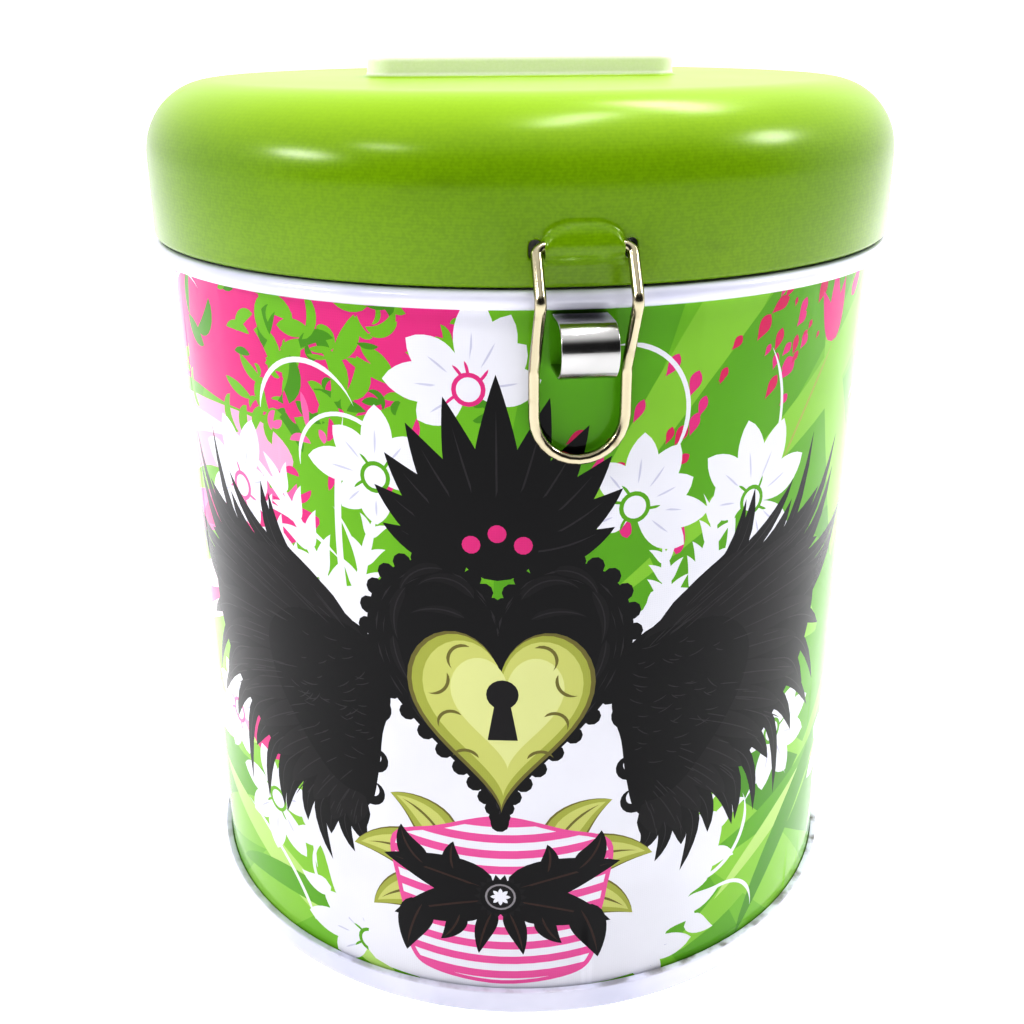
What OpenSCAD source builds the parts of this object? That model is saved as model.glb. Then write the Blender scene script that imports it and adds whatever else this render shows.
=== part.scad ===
// Round tin money box: a rolled and beaded tinplate body with a seamed bottom end, a deep-drawn lid
// with a raised coin slot, a wire hinge at the back and a wire bail that drops over a strap in front.
// The tin's axis is Z, its base stands on z = 0, and the latch faces -Y.

/* [Body] */
// Outer radius of the body wall
body_r = 41.5; // [30:0.5:60]
// Height from the base to the underside of the bead
body_h = 82.6; // [55:0.1:120]
// Thickness of the tinplate
sheet = 0.3; // [0.25:0.01:0.4]
// Width of the folded side seam
side_seam_w = 3; // [2:0.1:5]
// Angle of the side seam from the back, seen from above
side_seam_angle = 30; // [20:1:70]

/* [Bead and neck] */
// How far the bead stands out from the body wall
bead_out = 2.1; // [1.6:0.1:3]
// Height of the bead
bead_h = 1.9; // [1.4:0.1:2.6]
// Height of the neck above the bead
neck_h = 5.1; // [4:0.1:8]
// Radius of the rolled edge at the top of the neck
neck_curl_r = 0.6; // [0.5:0.05:1]

/* [Bottom end] */
// Height of the seam ring round the base
seam_h = 3.1; // [1.8:0.1:4]
// How far the seam ring stands out from the body wall
seam_out = 0.9; // [0.9:0.05:1.5]
// Depth of the bottom panel above the table
panel_z = 3.5; // [1.5:0.1:5]
// Radius of the raised middle of the bottom panel
panel_step_r = 34; // [20:0.5:36]
// Height of the step in the bottom panel
panel_step_h = 0.7; // [0.4:0.1:1.5]

/* [Lid] */
// How far the lid's skirt stands out from the body wall
lid_out = 1.7; // [1.5:0.1:2.4]
// Height of the lid from its lower edge to its flat top
lid_h = 16.55; // [14:0.05:26]
// Radius of the shoulder between skirt and top
shoulder_r = 8; // [3:0.25:10]
// Radius of the rolled edge at the bottom of the skirt
hem_r = 0.55; // [0.5:0.05:0.7]
// Gap between the closed lid and the bead
lid_gap = 0.15; // [0.1:0.05:0.4]

/* [Coin slot] */
// Length of the raised boss
boss_l = 35.5; // [26:0.5:44]
// Width of the raised boss
boss_w = 10; // [8:0.5:16]
// Height of the raised boss
boss_h = 2.6; // [1.5:0.1:5]
// Corner radius of the boss in plan
boss_corner_r = 3; // [1.5:0.25:4]
// Length of the coin slot
slot_l = 30; // [22:0.5:34]
// Width of the coin slot
slot_w = 4.5; // [3:0.1:6]
// Depth of the edge that is turned down round the slot
slot_lip = 1.1; // [0.6:0.1:1.4]

/* [Wires] */
// Diameter of the latch and hinge wire
wire_d = 1.1; // [0.9:0.05:1.5]
// Height of the wire pivots above the lid's lower edge
pivot_h = 3.75; // [3.2:0.05:5]
// How far the pivot axis lies outside the lid's skirt
pivot_out = 0.15; // [0.1:0.05:0.4]
// Clearance round a wire end in its pressed cover
pivot_gap = 0.08; // [0.05:0.01:0.15]
// How far the slit for each wire leg runs above its pivot
slit_up = 1.9; // [1.2:0.1:2.5]
// How far the slit for each wire leg runs below its pivot
slit_down = 1.4; // [1:0.1:2]
// Spacing of the bail's two legs, between centres
bail_w = 8.75; // [8.5:0.25:14]
// Length of the bail from its pivot to the middle of its bow
bail_l = 20.3; // [19:0.1:26]
// How far the bail's upper bend stands outside the bead
bail_bend_out = 3; // [1.2:0.1:4]
// How far the bail's lower part hangs outside the body wall
bail_hang_out = 1; // [0.9:0.1:2.5]
// Spacing of the hinge wire's two legs, between centres
hinge_w = 12; // [10:0.5:14]

/* [Straps] */
// Width of the latch strap
strap_w = 5.3; // [4:0.1:7]
// Thickness of the latch strap
strap_t = 0.4; // [0.3:0.05:0.5]
// Height of the latch strap's loop, outside
strap_h = 5.25; // [4.8:0.05:6]
// How far the latch strap stands out from the body wall
strap_out = 6.2; // [5:0.1:8]
// Gap between the latch strap and the bead above it
strap_drop = 0.5; // [0.3:0.1:2]
// Thickness of one layer of the hinge strap
hinge_strap_t = 0.35; // [0.3:0.05:0.45]
// Radial clearance of the hinge wire in its strap
hinge_gap = 0.05; // [0.02:0.01:0.09]
// How far the hinge axis lies outside the body wall
hinge_out = 3.7; // [3.6:0.1:5]
// Drop of the hinge axis below the bead
hinge_drop = 1.9; // [1.6:0.1:3]
// Length of the tabs folded over inside the body
tab_l = 3; // [2:0.5:5]

/* [Hidden] */
$fn = 96;
EPS = 0.01;         // overlap of joined shapes
BEND_SWELL = 1.06;  // a wire's girth at a bend, against its straight parts
FIT = 0.05;         // gap between sheets that are folded together
SLOT_FIT = 0.08;    // gap round a strap where it passes through the wall
LEG_FIT = 0.125;    // gap beside a wire leg in its slit
STRAP_FIT = 0.7;    // gap between the hinge strap and the wire legs beside it
PAST = 1;           // how far a cut runs past what it cuts
SLIT_REACH = 2;     // how far a slit's cut runs in and out from its pivot
BAIL_END = 1;       // distance of the bail's ends from the middle
HINGE_END = 2;      // distance of the hinge wire's ends from the middle

wire_r = wire_d / 2;
body_in = body_r - sheet;
bead_top = body_h + bead_h;
neck_top = bead_top + neck_h;
seam_r = body_r + seam_out;
lid_r = body_r + lid_out;
lid_z = bead_top + lid_gap;
lid_top = lid_z + lid_h;
boss_top = lid_top + boss_h;
pivot_r = lid_r + pivot_out;
pivot_z = lid_z + pivot_h;
cover_in = wire_r + pivot_gap;
cover_out = cover_in + sheet;
slit_w = wire_d + 2 * LEG_FIT;
strap_top = body_h - strap_drop;
strap_mid = strap_top - strap_h / 2;
hinge_r = body_r + hinge_out;
hinge_z = body_h - hinge_drop;
eye_in = wire_r + hinge_gap;
eye_out = eye_in + hinge_strap_t;
hinge_strap_w = hinge_w - wire_d - 2 * STRAP_FIT;

tin_colour = [0.82, 0.82, 0.84];
white_colour = [0.9, 0.9, 0.94];
green_colour = [0.5, 0.74, 0.08];
wire_colour = [0.86, 0.84, 0.78];

// ---- shared shapes ----

// A rectangle from its low and high corners
module block(low, high) {
    translate(low) square(high - low);
}

// Straps and wires are drawn with outwards as +Y; this turns them to the front
module to_front() {
    rotate([0, 0, 180]) children();
}

// Extrudes an outline drawn in (distance from the axis, height) to a width across the tin
module across(width) {
    rotate([90, 0, 90]) linear_extrude(height = width, center = true) children();
}

// A straight round wire between two points
module wire_run(a, b) {
    d = b - a;
    translate(a)
        rotate([0, acos(d.z / norm(d)), atan2(d.y, d.x)])
            cylinder(r = wire_r, h = norm(d));
}

// A wire along a list of points, slightly swollen where it is bent
module wire_path(points) {
    for (i = [1 : len(points) - 1]) wire_run(points[i - 1], points[i]);
    for (i = [1 : len(points) - 2]) translate(points[i]) sphere(r = BEND_SWELL * wire_r);
}

// A rectangle with rounded corners, centred
module rounded(l, w, r) {
    square([l - 2 * r, w], center = true);
    square([l, w - 2 * r], center = true);
    for (x = [-1, 1], y = [-1, 1]) translate([x * (l / 2 - r), y * (w / 2 - r)]) circle(r = r);
}

// The distance from the axis at which a flat strip of width w clears the inner wall
function chord_in(w) = sqrt(pow(body_in, 2) - pow(w / 2, 2)) - FIT;

// ---- body ----

// The bead with its sheet set in by t: it is open towards the axis
module bead_outline(t) {
    r = bead_h / 2;
    block([body_in, body_h + t], [body_r + bead_out - r, bead_top - t]);
    translate([body_r + bead_out - r, body_h + r]) circle(r = r - t);
}

module body_outline() {
    hook_z = sheet + FIT;
    hook_r = seam_r - sheet - FIT;
    block([body_in, hook_z], [body_r, body_h + sheet]);
    block([body_in, hook_z], [seam_r - 2 * sheet, hook_z + sheet]);
    block([hook_r - sheet, 2 * sheet], [hook_r, seam_h - sheet - FIT]);
    intersection() {
        translate([seam_r - 2 * sheet, 2 * sheet]) circle(r = sheet - FIT);
        block([hook_r - sheet, hook_z], [hook_r, 3 * sheet]);
    }
    difference() {
        bead_outline(0);
        translate([-EPS, 0]) bead_outline(sheet);
    }
    block([body_in, bead_top - sheet], [body_r, neck_top - neck_curl_r]);
    translate([body_r - neck_curl_r, neck_top - neck_curl_r]) difference() {
        circle(r = neck_curl_r);
        circle(r = neck_curl_r - sheet);
        translate([0, -neck_curl_r]) square([neck_curl_r - sheet, neck_curl_r]);
    }
}

// The folded side seam, flat on the inside of the wall
module side_seam() {
    rotate([0, 0, 90 - side_seam_angle]) intersection() {
        rotate_extrude() block([body_in - 2 * sheet, panel_z + 2 * sheet], [body_in + EPS, body_h - sheet]);
        translate([0, -side_seam_w / 2, 0]) cube([2 * body_r, side_seam_w, body_h]);
    }
}

module body_shell() {
    color(white_colour) difference() {
        union() {
            rotate_extrude() body_outline();
            side_seam();
        }
        to_front() for (z = [strap_top - strap_t, strap_top - strap_h])
            wall_slot(z, strap_w, strap_t);
        wall_slot(hinge_z - hinge_strap_t, hinge_strap_w, 2 * hinge_strap_t);
    }
}

// The slot that a strap of width w and thickness t passes through, with its underside at z
module wall_slot(z, w, t) {
    y = chord_in(w) - sheet;
    translate([-w / 2 - SLOT_FIT, y, z - SLOT_FIT]) cube([w + 2 * SLOT_FIT, 2 * body_r, t + 2 * SLOT_FIT]);
}

module base_outline() {
    chuck_r = body_in - FIT;
    block([chuck_r - sheet, 0], [seam_r - 2 * sheet, sheet]);
    translate([seam_r - 2 * sheet, 2 * sheet]) intersection() {
        difference() {
            circle(r = 2 * sheet);
            circle(r = sheet);
        }
        translate([0, -2 * sheet]) square(2 * sheet);
    }
    block([seam_r - sheet, 2 * sheet], [seam_r, seam_h]);
    block([body_r + FIT, seam_h - sheet], [seam_r, seam_h]);
    block([chuck_r - sheet, 0], [chuck_r, panel_z + sheet]);
    block([panel_step_r, panel_z], [chuck_r, panel_z + sheet]);
    block([panel_step_r, panel_z], [panel_step_r + sheet, panel_z + panel_step_h + sheet]);
    block([0, panel_z + panel_step_h], [panel_step_r + sheet, panel_z + panel_step_h + sheet]);
}

module base_end() {
    color(white_colour) rotate_extrude() base_outline();
}

// ---- lid ----

// The lid's side view, set in by t
module lid_solid_outline(t) {
    r = shoulder_r - t;
    block([0, lid_z - (t > 0 ? PAST : 0)], [lid_r - t, lid_top - shoulder_r]);
    block([0, lid_top - shoulder_r - EPS], [lid_r - shoulder_r, lid_top - t]);
    translate([lid_r - shoulder_r, lid_top - shoulder_r]) circle(r = r);
}

module lid_outline() {
    difference() {
        lid_solid_outline(0);
        lid_solid_outline(sheet);
        block([lid_r - hem_r, lid_z - PAST], [lid_r + PAST, lid_z + hem_r]);
    }
    translate([lid_r - hem_r, lid_z + hem_r]) difference() {
        circle(r = hem_r);
        circle(r = hem_r - sheet);
        translate([-2 * hem_r, 0]) square([2 * hem_r, hem_r]);
    }
}

// The raised boss with its coin slot and the edge turned down inside it
module coin_boss() {
    translate([0, 0, lid_top - sheet]) difference() {
        linear_extrude(boss_h + sheet) rounded(boss_l, boss_w, boss_corner_r);
        translate([0, 0, -EPS]) linear_extrude(boss_h + EPS)
            rounded(boss_l - 2 * sheet, boss_w - 2 * sheet, boss_corner_r - sheet);
    }
    translate([0, 0, boss_top - sheet - slot_lip]) linear_extrude(slot_lip + sheet - EPS)
        rounded(slot_l + 2 * sheet, slot_w + 2 * sheet, slot_w / 2 + sheet - EPS);
}

module coin_slot() {
    translate([0, 0, lid_top]) linear_extrude(boss_h + PAST) rounded(slot_l, slot_w, slot_w / 2 - EPS);
}

// The pressed cover over a pair of wire ends: a half round that grows out of the skirt
module pivot_cover(w) {
    y = sqrt(pow(lid_r, 2) - pow(w / 2, 2)) - sheet / 2;
    intersection() {
        translate([0, pivot_r, pivot_z]) rotate([0, 90, 0])
            cylinder(r = cover_out, h = w - slit_w, center = true);
        translate([-w / 2, y, pivot_z - 2 * cover_out]) cube([w, 4 * cover_out, 4 * cover_out]);
    }
}

// The room inside that cover, and the slits that the legs come out of
module pivot_room(w) {
    translate([0, pivot_r, pivot_z]) rotate([0, 90, 0])
        cylinder(r = cover_in, h = w + slit_w, center = true);
    for (x = [-1, 1])
        translate([x * w / 2 - slit_w / 2, pivot_r - SLIT_REACH, pivot_z - slit_down])
            cube([slit_w, 2 * SLIT_REACH, slit_down + slit_up]);
}

module lid_shell() {
    color(green_colour) difference() {
        union() {
            rotate_extrude() lid_outline();
            to_front() pivot_cover(bail_w);
            pivot_cover(hinge_w);
            coin_boss();
        }
        to_front() pivot_room(bail_w);
        pivot_room(hinge_w);
        translate([0, 0, lid_top - 2 * sheet]) linear_extrude(2 * sheet)
            rounded(boss_l - 2 * sheet, boss_w - 2 * sheet, boss_corner_r - sheet);
        coin_slot();
    }
}

// ---- latch ----

// The strap's loop, set in by t, from the wall out to its round front
module strap_loop_outline(t) {
    r = strap_h / 2;
    block([body_in - 2 * strap_t, strap_mid - r + t], [body_r + strap_out - r, strap_mid + r - t]);
    translate([body_r + strap_out - r, strap_mid]) circle(r = r - t);
}

module latch_keeper() {
    y = chord_in(strap_w);
    color(tin_colour) to_front() across(strap_w) difference() {
        union() {
            intersection() {
                strap_loop_outline(0);
                block([y - strap_t, 0], [body_r + strap_out, 2 * body_h]);
            }
            block([y - strap_t, strap_top - strap_t], [y, strap_top + tab_l]);
            block([y - strap_t, strap_top - strap_h - tab_l], [y, strap_top - strap_h + strap_t]);
        }
        strap_loop_outline(strap_t);
    }
}

module latch_bail() {
    x = bail_w / 2;
    bend = [body_r + bead_out + bail_bend_out, bead_top - wire_r];
    low = [body_r + bail_hang_out, strap_mid - strap_h / 2];
    bow_z = pivot_z - bail_l + x;
    color(wire_colour) to_front() {
        for (s = [-1, 1])
            wire_path([
                [s * BAIL_END, pivot_r, pivot_z],
                [s * x, pivot_r, pivot_z],
                [s * x, bend.x, bend.y],
                [s * x, low.x, low.y],
                [s * x, low.x, bow_z]
            ]);
        translate([0, low.x, bow_z]) rotate([90, 0, 0]) rotate([0, 0, 180])
            rotate_extrude(angle = 180) translate([x, 0]) circle(r = wire_r);
        for (s = [-1, 1]) translate([s * x, low.x, bow_z]) sphere(r = BEND_SWELL * wire_r);
    }
}

// ---- hinge ----

module hinge_strap() {
    t = hinge_strap_t;
    y = chord_in(hinge_strap_w);
    color(tin_colour) across(hinge_strap_w) difference() {
        union() {
            block([y - t, hinge_z - t], [hinge_r, hinge_z + t]);
            translate([hinge_r, hinge_z]) circle(r = eye_out);
            block([y - t, hinge_z - t - tab_l], [y, hinge_z + t + tab_l]);
        }
        translate([hinge_r, hinge_z]) circle(r = eye_in);
    }
}

module hinge_wire() {
    x = hinge_w / 2;
    color(wire_colour) wire_path([
        [HINGE_END, pivot_r, pivot_z],
        [x, pivot_r, pivot_z],
        [x, hinge_r, hinge_z],
        [-x, hinge_r, hinge_z],
        [-x, pivot_r, pivot_z],
        [-HINGE_END, pivot_r, pivot_z]
    ]);
}

body_shell();
base_end();
lid_shell();
latch_keeper();
latch_bail();
hinge_strap();
hinge_wire();
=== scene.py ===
import math
import random

import bpy
import numpy as np
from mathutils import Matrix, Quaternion, Vector
from mathutils.geometry import delaunay_2d_cdt


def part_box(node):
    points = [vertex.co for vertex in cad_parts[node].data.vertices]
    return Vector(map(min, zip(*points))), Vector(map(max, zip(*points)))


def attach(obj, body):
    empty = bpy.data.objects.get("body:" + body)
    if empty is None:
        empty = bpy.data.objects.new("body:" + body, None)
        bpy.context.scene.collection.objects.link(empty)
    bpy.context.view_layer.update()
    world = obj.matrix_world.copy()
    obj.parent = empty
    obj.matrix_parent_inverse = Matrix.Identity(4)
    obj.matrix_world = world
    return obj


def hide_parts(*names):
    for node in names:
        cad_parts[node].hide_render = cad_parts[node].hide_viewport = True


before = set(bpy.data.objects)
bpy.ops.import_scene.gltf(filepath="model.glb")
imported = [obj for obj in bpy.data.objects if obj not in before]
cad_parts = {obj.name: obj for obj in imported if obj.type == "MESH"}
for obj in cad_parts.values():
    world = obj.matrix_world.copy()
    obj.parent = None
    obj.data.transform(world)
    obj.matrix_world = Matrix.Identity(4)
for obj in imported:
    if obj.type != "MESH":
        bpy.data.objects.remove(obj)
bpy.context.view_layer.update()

print("frame loaded:", sorted(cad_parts))

# Lengths are in millimetres round the tin's axis, and are turned into metres when a mesh is made.
# Angles round the tin run from the latch, which faces -Y, towards +X.


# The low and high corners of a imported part, in millimetres
def packed(node):
    low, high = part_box(node)
    return low * 1000, high * 1000


tin = {
    "sheet": 0.3,
    "seamRadius": packed("base_end")[1].x,
    "wallRadius": packed("base_end")[1].x - 0.9,
    "beadRadius": packed("body_shell")[1].x,
    "neckTop": packed("body_shell")[1].z,
    "lidRadius": packed("lid_shell")[1].x,
    "lidLow": packed("lid_shell")[0].z,
    "beadLow": packed("lid_shell")[0].z - 2.05,
    "bossTop": packed("lid_shell")[1].z,
    "columnStep": 3.0,   # degrees between the columns of a round wall
}


# One small class for shader maths: it wraps a socket, so that expressions add Math nodes
class Field:
    def __init__(self, tree, socket):
        self.tree = tree
        self.socket = socket

    def maths(self, operation, first, second=None):
        node = self.tree.nodes.new("ShaderNodeMath")
        node.operation = operation
        for i, value in enumerate((first, second)):
            if isinstance(value, Field):
                self.tree.links.new(value.socket, node.inputs[i])
            elif value is not None:
                node.inputs[i].default_value = value
        return Field(self.tree, node.outputs[0])

    def __add__(self, other):
        return self.maths("ADD", self, other)

    def __radd__(self, other):
        return self.maths("ADD", other, self)

    def __sub__(self, other):
        return self.maths("SUBTRACT", self, other)

    def __rsub__(self, other):
        return self.maths("SUBTRACT", other, self)

    def __mul__(self, other):
        return self.maths("MULTIPLY", self, other)

    def __rmul__(self, other):
        return self.maths("MULTIPLY", other, self)

    def sine(self):
        return self.maths("SINE", self)

    def size(self):
        return self.maths("ABSOLUTE", self)

    # 0 below low, 1 above high and a smooth step between them
    def step(self, low, high):
        node = self.tree.nodes.new("ShaderNodeMapRange")
        node.interpolation_type = "SMOOTHSTEP"
        self.tree.links.new(self.socket, node.inputs["Value"])
        node.inputs["From Min"].default_value = low
        node.inputs["From Max"].default_value = high
        return Field(self.tree, node.outputs[0])


# A material with one Principled shader, and one method that adds any other node
class Finish:
    def __init__(self, name, constants):
        self.material = bpy.data.materials.new(name)
        self.material.use_nodes = True
        self.tree = self.material.node_tree
        self.shader = self.tree.nodes["Principled BSDF"]
        for socket, value in constants.items():
            self.shader.inputs[socket].default_value = value

    def add(self, kind, settings=None, sockets=None, output=0):
        node = self.tree.nodes.new(kind)
        for name, value in (settings or {}).items():
            setattr(node, name, value)
        for name, value in (sockets or {}).items():
            if isinstance(value, Field):
                self.tree.links.new(value.socket, node.inputs[name])
            else:
                node.inputs[name].default_value = value
        return Field(self.tree, node.outputs[output])

    def feed(self, name, value):
        self.tree.links.new(value.socket, self.shader.inputs[name])

    def place(self, scale):
        spot = self.add("ShaderNodeTexCoord", output="Object")
        return self.add("ShaderNodeMapping", None, {"Vector": spot, "Scale": scale})

    def noise(self, scale, detail, stretch=(1, 1, 1)):
        sockets = {"Vector": self.place(stretch), "Scale": scale, "Detail": detail}
        return self.add("ShaderNodeTexNoise", None, sockets)

    def axes(self):
        spot = self.add("ShaderNodeTexCoord", output="Object")
        return [self.add("ShaderNodeSeparateXYZ", None, {"Vector": spot}, name) for name in "XYZ"]

    # first where the mask is 0 and second where it is 1
    def mix(self, mask, first, second, blend="MIX"):
        return self.add("ShaderNodeMix", {"data_type": "RGBA", "blend_type": blend},
                        {0: mask, 6: first, 7: second}, 2)

    def grey(self, value):
        return self.add("ShaderNodeCombineXYZ", None, {"X": value, "Y": value, "Z": value})

    def bump(self, height, distance):
        sockets = {"Height": height, "Distance": distance, "Strength": 1.0}
        self.feed("Normal", self.add("ShaderNodeBump", None, sockets))


# An everyday 0 to 255 colour as the shaders take it
def linear(colour):
    return tuple((c / 255 / 12.92) if c <= 10 else ((c / 255 + 0.055) / 1.055) ** 2.4 for c in colour) + (1.0,)


# The print under its clear lacquer: the inks are in the mesh's own attribute
printFinish = {"strength": 0.83, "dots": 0.05, "mottle": 0.07, "roughness": 0.34, "coat": 0.8, "peel": 0.000012}


def makePrinted():
    finish = Finish("printedTin", {"Coat Roughness": 0.08, "Coat IOR": 1.3, "Specular IOR Level": 0.04})
    ink = finish.add("ShaderNodeAttribute", {"attribute_name": "ink"}, output="Color")
    x, y, z = finish.axes()
    around = x.maths("ARCTAN2", x, y) * (tin["wallRadius"] / 1000)
    dots = ((around + z) * 12500).sine() * ((around - z) * 12500).sine()
    cloud = finish.noise(70, 3)
    tone = 1 - printFinish["dots"] * dots.step(0.1, 0.9) - printFinish["mottle"] * cloud.step(0.35, 0.75)
    scratch = finish.noise(420, 2, (1, 1, 0.05)).step(0.66, 0.72) * finish.noise(45, 2).step(0.5, 0.62)
    shade = finish.grey(printFinish["strength"] * tone + 0.06 * scratch)
    finish.feed("Base Color", finish.mix(1.0, ink, shade, "MULTIPLY"))
    finish.feed("Roughness", printFinish["roughness"] + 0.16 * cloud + 0.25 * scratch)
    haze = finish.noise(25, 3).step(0.45, 0.75)
    finish.feed("Coat Weight", printFinish["coat"] - 0.35 * scratch - 0.12 * haze)
    finish.bump(finish.noise(150, 2) + 0.25 * finish.noise(1400, 1), printFinish["peel"])
    return finish.material


# White lacquer on the bead and the seam ring, with a dark line where the ring meets the wall: painted shade in
# that crease, broken into rub marks
whiteFinish = {
    "colour": (218, 218, 232), "cloudy": (200, 201, 220), "rubAndShade": (84, 76, 58), "creaseAt": 0.0031, "roughness": 0.3,
}


def makeWhite():
    finish = Finish("whiteLacquer", {"Coat Roughness": 0.08, "Coat IOR": 1.5})
    x, y, z = finish.axes()
    cloud = finish.noise(90, 3)
    lacquer = finish.mix(cloud.step(0.3, 0.8), linear(whiteFinish["colour"]), linear(whiteFinish["cloudy"]))
    # painted shade: a dark band in the crease where the ring meets the wall, which noise breaks into rub marks,
    # plus specks of real wear
    band = 1 - (z - whiteFinish["creaseAt"]).size().step(0.00001, 0.00014)
    rubAndShade = band * finish.noise(330, 5).step(0.44, 0.66) * (0.25 + 0.65 * finish.noise(34, 2).step(0.42, 0.58))
    specks = finish.noise(700, 2).step(0.72, 0.78) * finish.noise(80, 2).step(0.5, 0.6)
    wearAndShade = rubAndShade.maths("MAXIMUM", rubAndShade, 0.6 * specks)
    finish.feed("Base Color", finish.mix(wearAndShade, lacquer, linear(whiteFinish["rubAndShade"])))
    finish.feed("Roughness", whiteFinish["roughness"] + 0.12 * cloud + 0.3 * wearAndShade)
    finish.feed("Coat Weight", 0.8 - 0.7 * wearAndShade)
    finish.bump(finish.noise(160, 2) - 0.6 * wearAndShade, 0.00001)
    return finish.material


# The lid's green: a fine printed screen under gloss lacquer, with a painted sheen paling the shoulder towards
# the top and painted glare turning the boss white
greenFinish = {
    # the near-white colour for the boss is painted glare on its top
    "light": (128, 164, 6), "dark": (98, 134, 2), "boss": (255, 255, 248), "screen": 0.04, "pitch": 0.0003,
    # over is the painted sheen's colour: a paler green standing in for bright surroundings reflected on the
    # shoulder
    "over": (168, 206, 52), "mark": (66, 92, 10), "scuff": (190, 215, 120), "roughness": 0.3,
    "sheenFrom": 0.0095, "sheenTo": 0.0026,    # metres below the boss's top where the painted sheen, a paler shoulder standing in for reflected light, fades in
    "bossFrom": 0.00255, "bossTo": 0.0021,   # and where the painted glare that turns the boss's top white begins
}


def makeGreen():
    finish = Finish("greenLacquer", {"Coat Roughness": 0.22, "Coat IOR": 1.4, "Specular IOR Level": 0.05})
    x, y, z = finish.axes()
    wander = finish.noise(260, 3)
    around = x.maths("ARCTAN2", x, y) * (tin["lidRadius"] / 1000)
    rows = ((z * (2 * math.pi / greenFinish["pitch"])) + 5 * wander).sine()
    cross = ((around + 0.35 * z) * (2 * math.pi / (1.5 * greenFinish["pitch"])) + 4 * wander).sine()
    cloud = finish.noise(38, 3)
    grain = finish.noise(2600, 2).step(0.38, 0.64)
    mask = 0.42 + 0.22 * cloud.step(0.3, 0.75) + greenFinish["screen"] * (rows + 0.4 * cross) + 0.16 * grain
    scuff = finish.noise(300, 2, (0.15, 1, 1)).step(0.68, 0.74) * finish.noise(50, 2).step(0.5, 0.62)
    colour = finish.mix(mask.step(0.0, 1.0), linear(greenFinish["light"]), linear(greenFinish["dark"]))
    top = tin["bossTop"] / 1000
    # painted sheen: the shoulder turns paler towards the top, as if it reflected the white room
    over = z.step(top - greenFinish["sheenFrom"], top - greenFinish["sheenTo"])
    colour = finish.mix(0.6 * over, colour, linear(greenFinish["over"]))
    marks = finish.noise(75, 4, (0.6, 0.6, 2.2)).step(0.6, 0.76) * (1 - over)
    colour = finish.mix(0.34 * marks, colour, linear(greenFinish["mark"]))
    colour = finish.mix(0.3 * scuff, colour, linear(greenFinish["scuff"]))
    # painted glare: the top of the boss painted near white, standing in for overexposed reflection
    boss = z.step(top - greenFinish["bossFrom"], top - greenFinish["bossTo"]) * (0.95 + 0.05 * grain)
    finish.feed("Base Color", finish.mix(boss, colour, linear(greenFinish["boss"])))
    finish.feed("Roughness", greenFinish["roughness"] + 0.1 * cloud + 0.25 * scuff)
    finish.feed("Coat Weight", 0.95 - 0.3 * scuff - 0.1 * cloud - 0.5 * over)
    finish.bump(finish.noise(120, 2) + 0.06 * rows + 0.2 * finish.noise(1200, 1), 0.000014)
    return finish.material


# Bare tinplate: rolled one way, with soft spangle and handling marks
def makeBare(name, colour, roughness, grain):
    finish = Finish(name, {"Metallic": 1.0})
    spangle = finish.noise(110, 4)
    rolled = finish.noise(900, 2, (1, 1, 0.04))
    marks = finish.noise(60, 5).step(0.55, 0.75)
    tint = finish.mix(spangle.step(0.3, 0.7), linear(colour), linear(tuple(c * 0.86 for c in colour)))
    finish.feed("Base Color", finish.mix(0.35 * marks, tint, linear(tuple(c * 0.7 for c in colour))))
    finish.feed("Roughness", roughness + grain * rolled + 0.12 * marks)
    finish.bump(rolled + 0.6 * spangle, 0.000008)
    return finish.material


# Nickel-plated spring wire, with die lines along it and darker tarnish in patches
wireFinish = {"colour": (182, 174, 150), "tarnish": (132, 118, 92), "roughness": 0.13}


def makeWire():
    finish = Finish("platedWire", {"Metallic": 1.0})
    drawn = finish.noise(2600, 2, (1, 1, 0.05))
    tarnish = finish.noise(210, 4).step(0.54, 0.72)
    finish.feed("Base Color", finish.mix(tarnish, linear(wireFinish["colour"]), linear(wireFinish["tarnish"])))
    finish.feed("Roughness", wireFinish["roughness"] + 0.12 * drawn + 0.16 * tarnish)
    finish.bump(drawn + 0.4 * tarnish, 0.000006)
    return finish.material


printed = makePrinted()
white = makeWhite()
green = makeGreen()
bare = makeBare("bareTinplate", (186, 186, 188), 0.34, 0.14)
bright = makeBare("brightTinplate", (204, 203, 202), 0.12, 0.1)
wireMetal = makeWire()
print("finishes made")


# A point on a round wall
def spot(radius, degrees, height):
    turn = math.radians(degrees)
    return radius * math.sin(turn), -radius * math.cos(turn), height


# An arc of a profile, which is drawn as (distance from the axis, height)
def arc(across, height, radius, start, end, steps):
    line = []
    for i in range(steps + 1):
        turn = math.radians(start + (end - start) * i / steps)
        line.append((across + radius * math.cos(turn), height + radius * math.sin(turn)))
    return line


plainInk = (1.0, 1.0, 1.0, 1.0)  # on faces that carry no print


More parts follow.
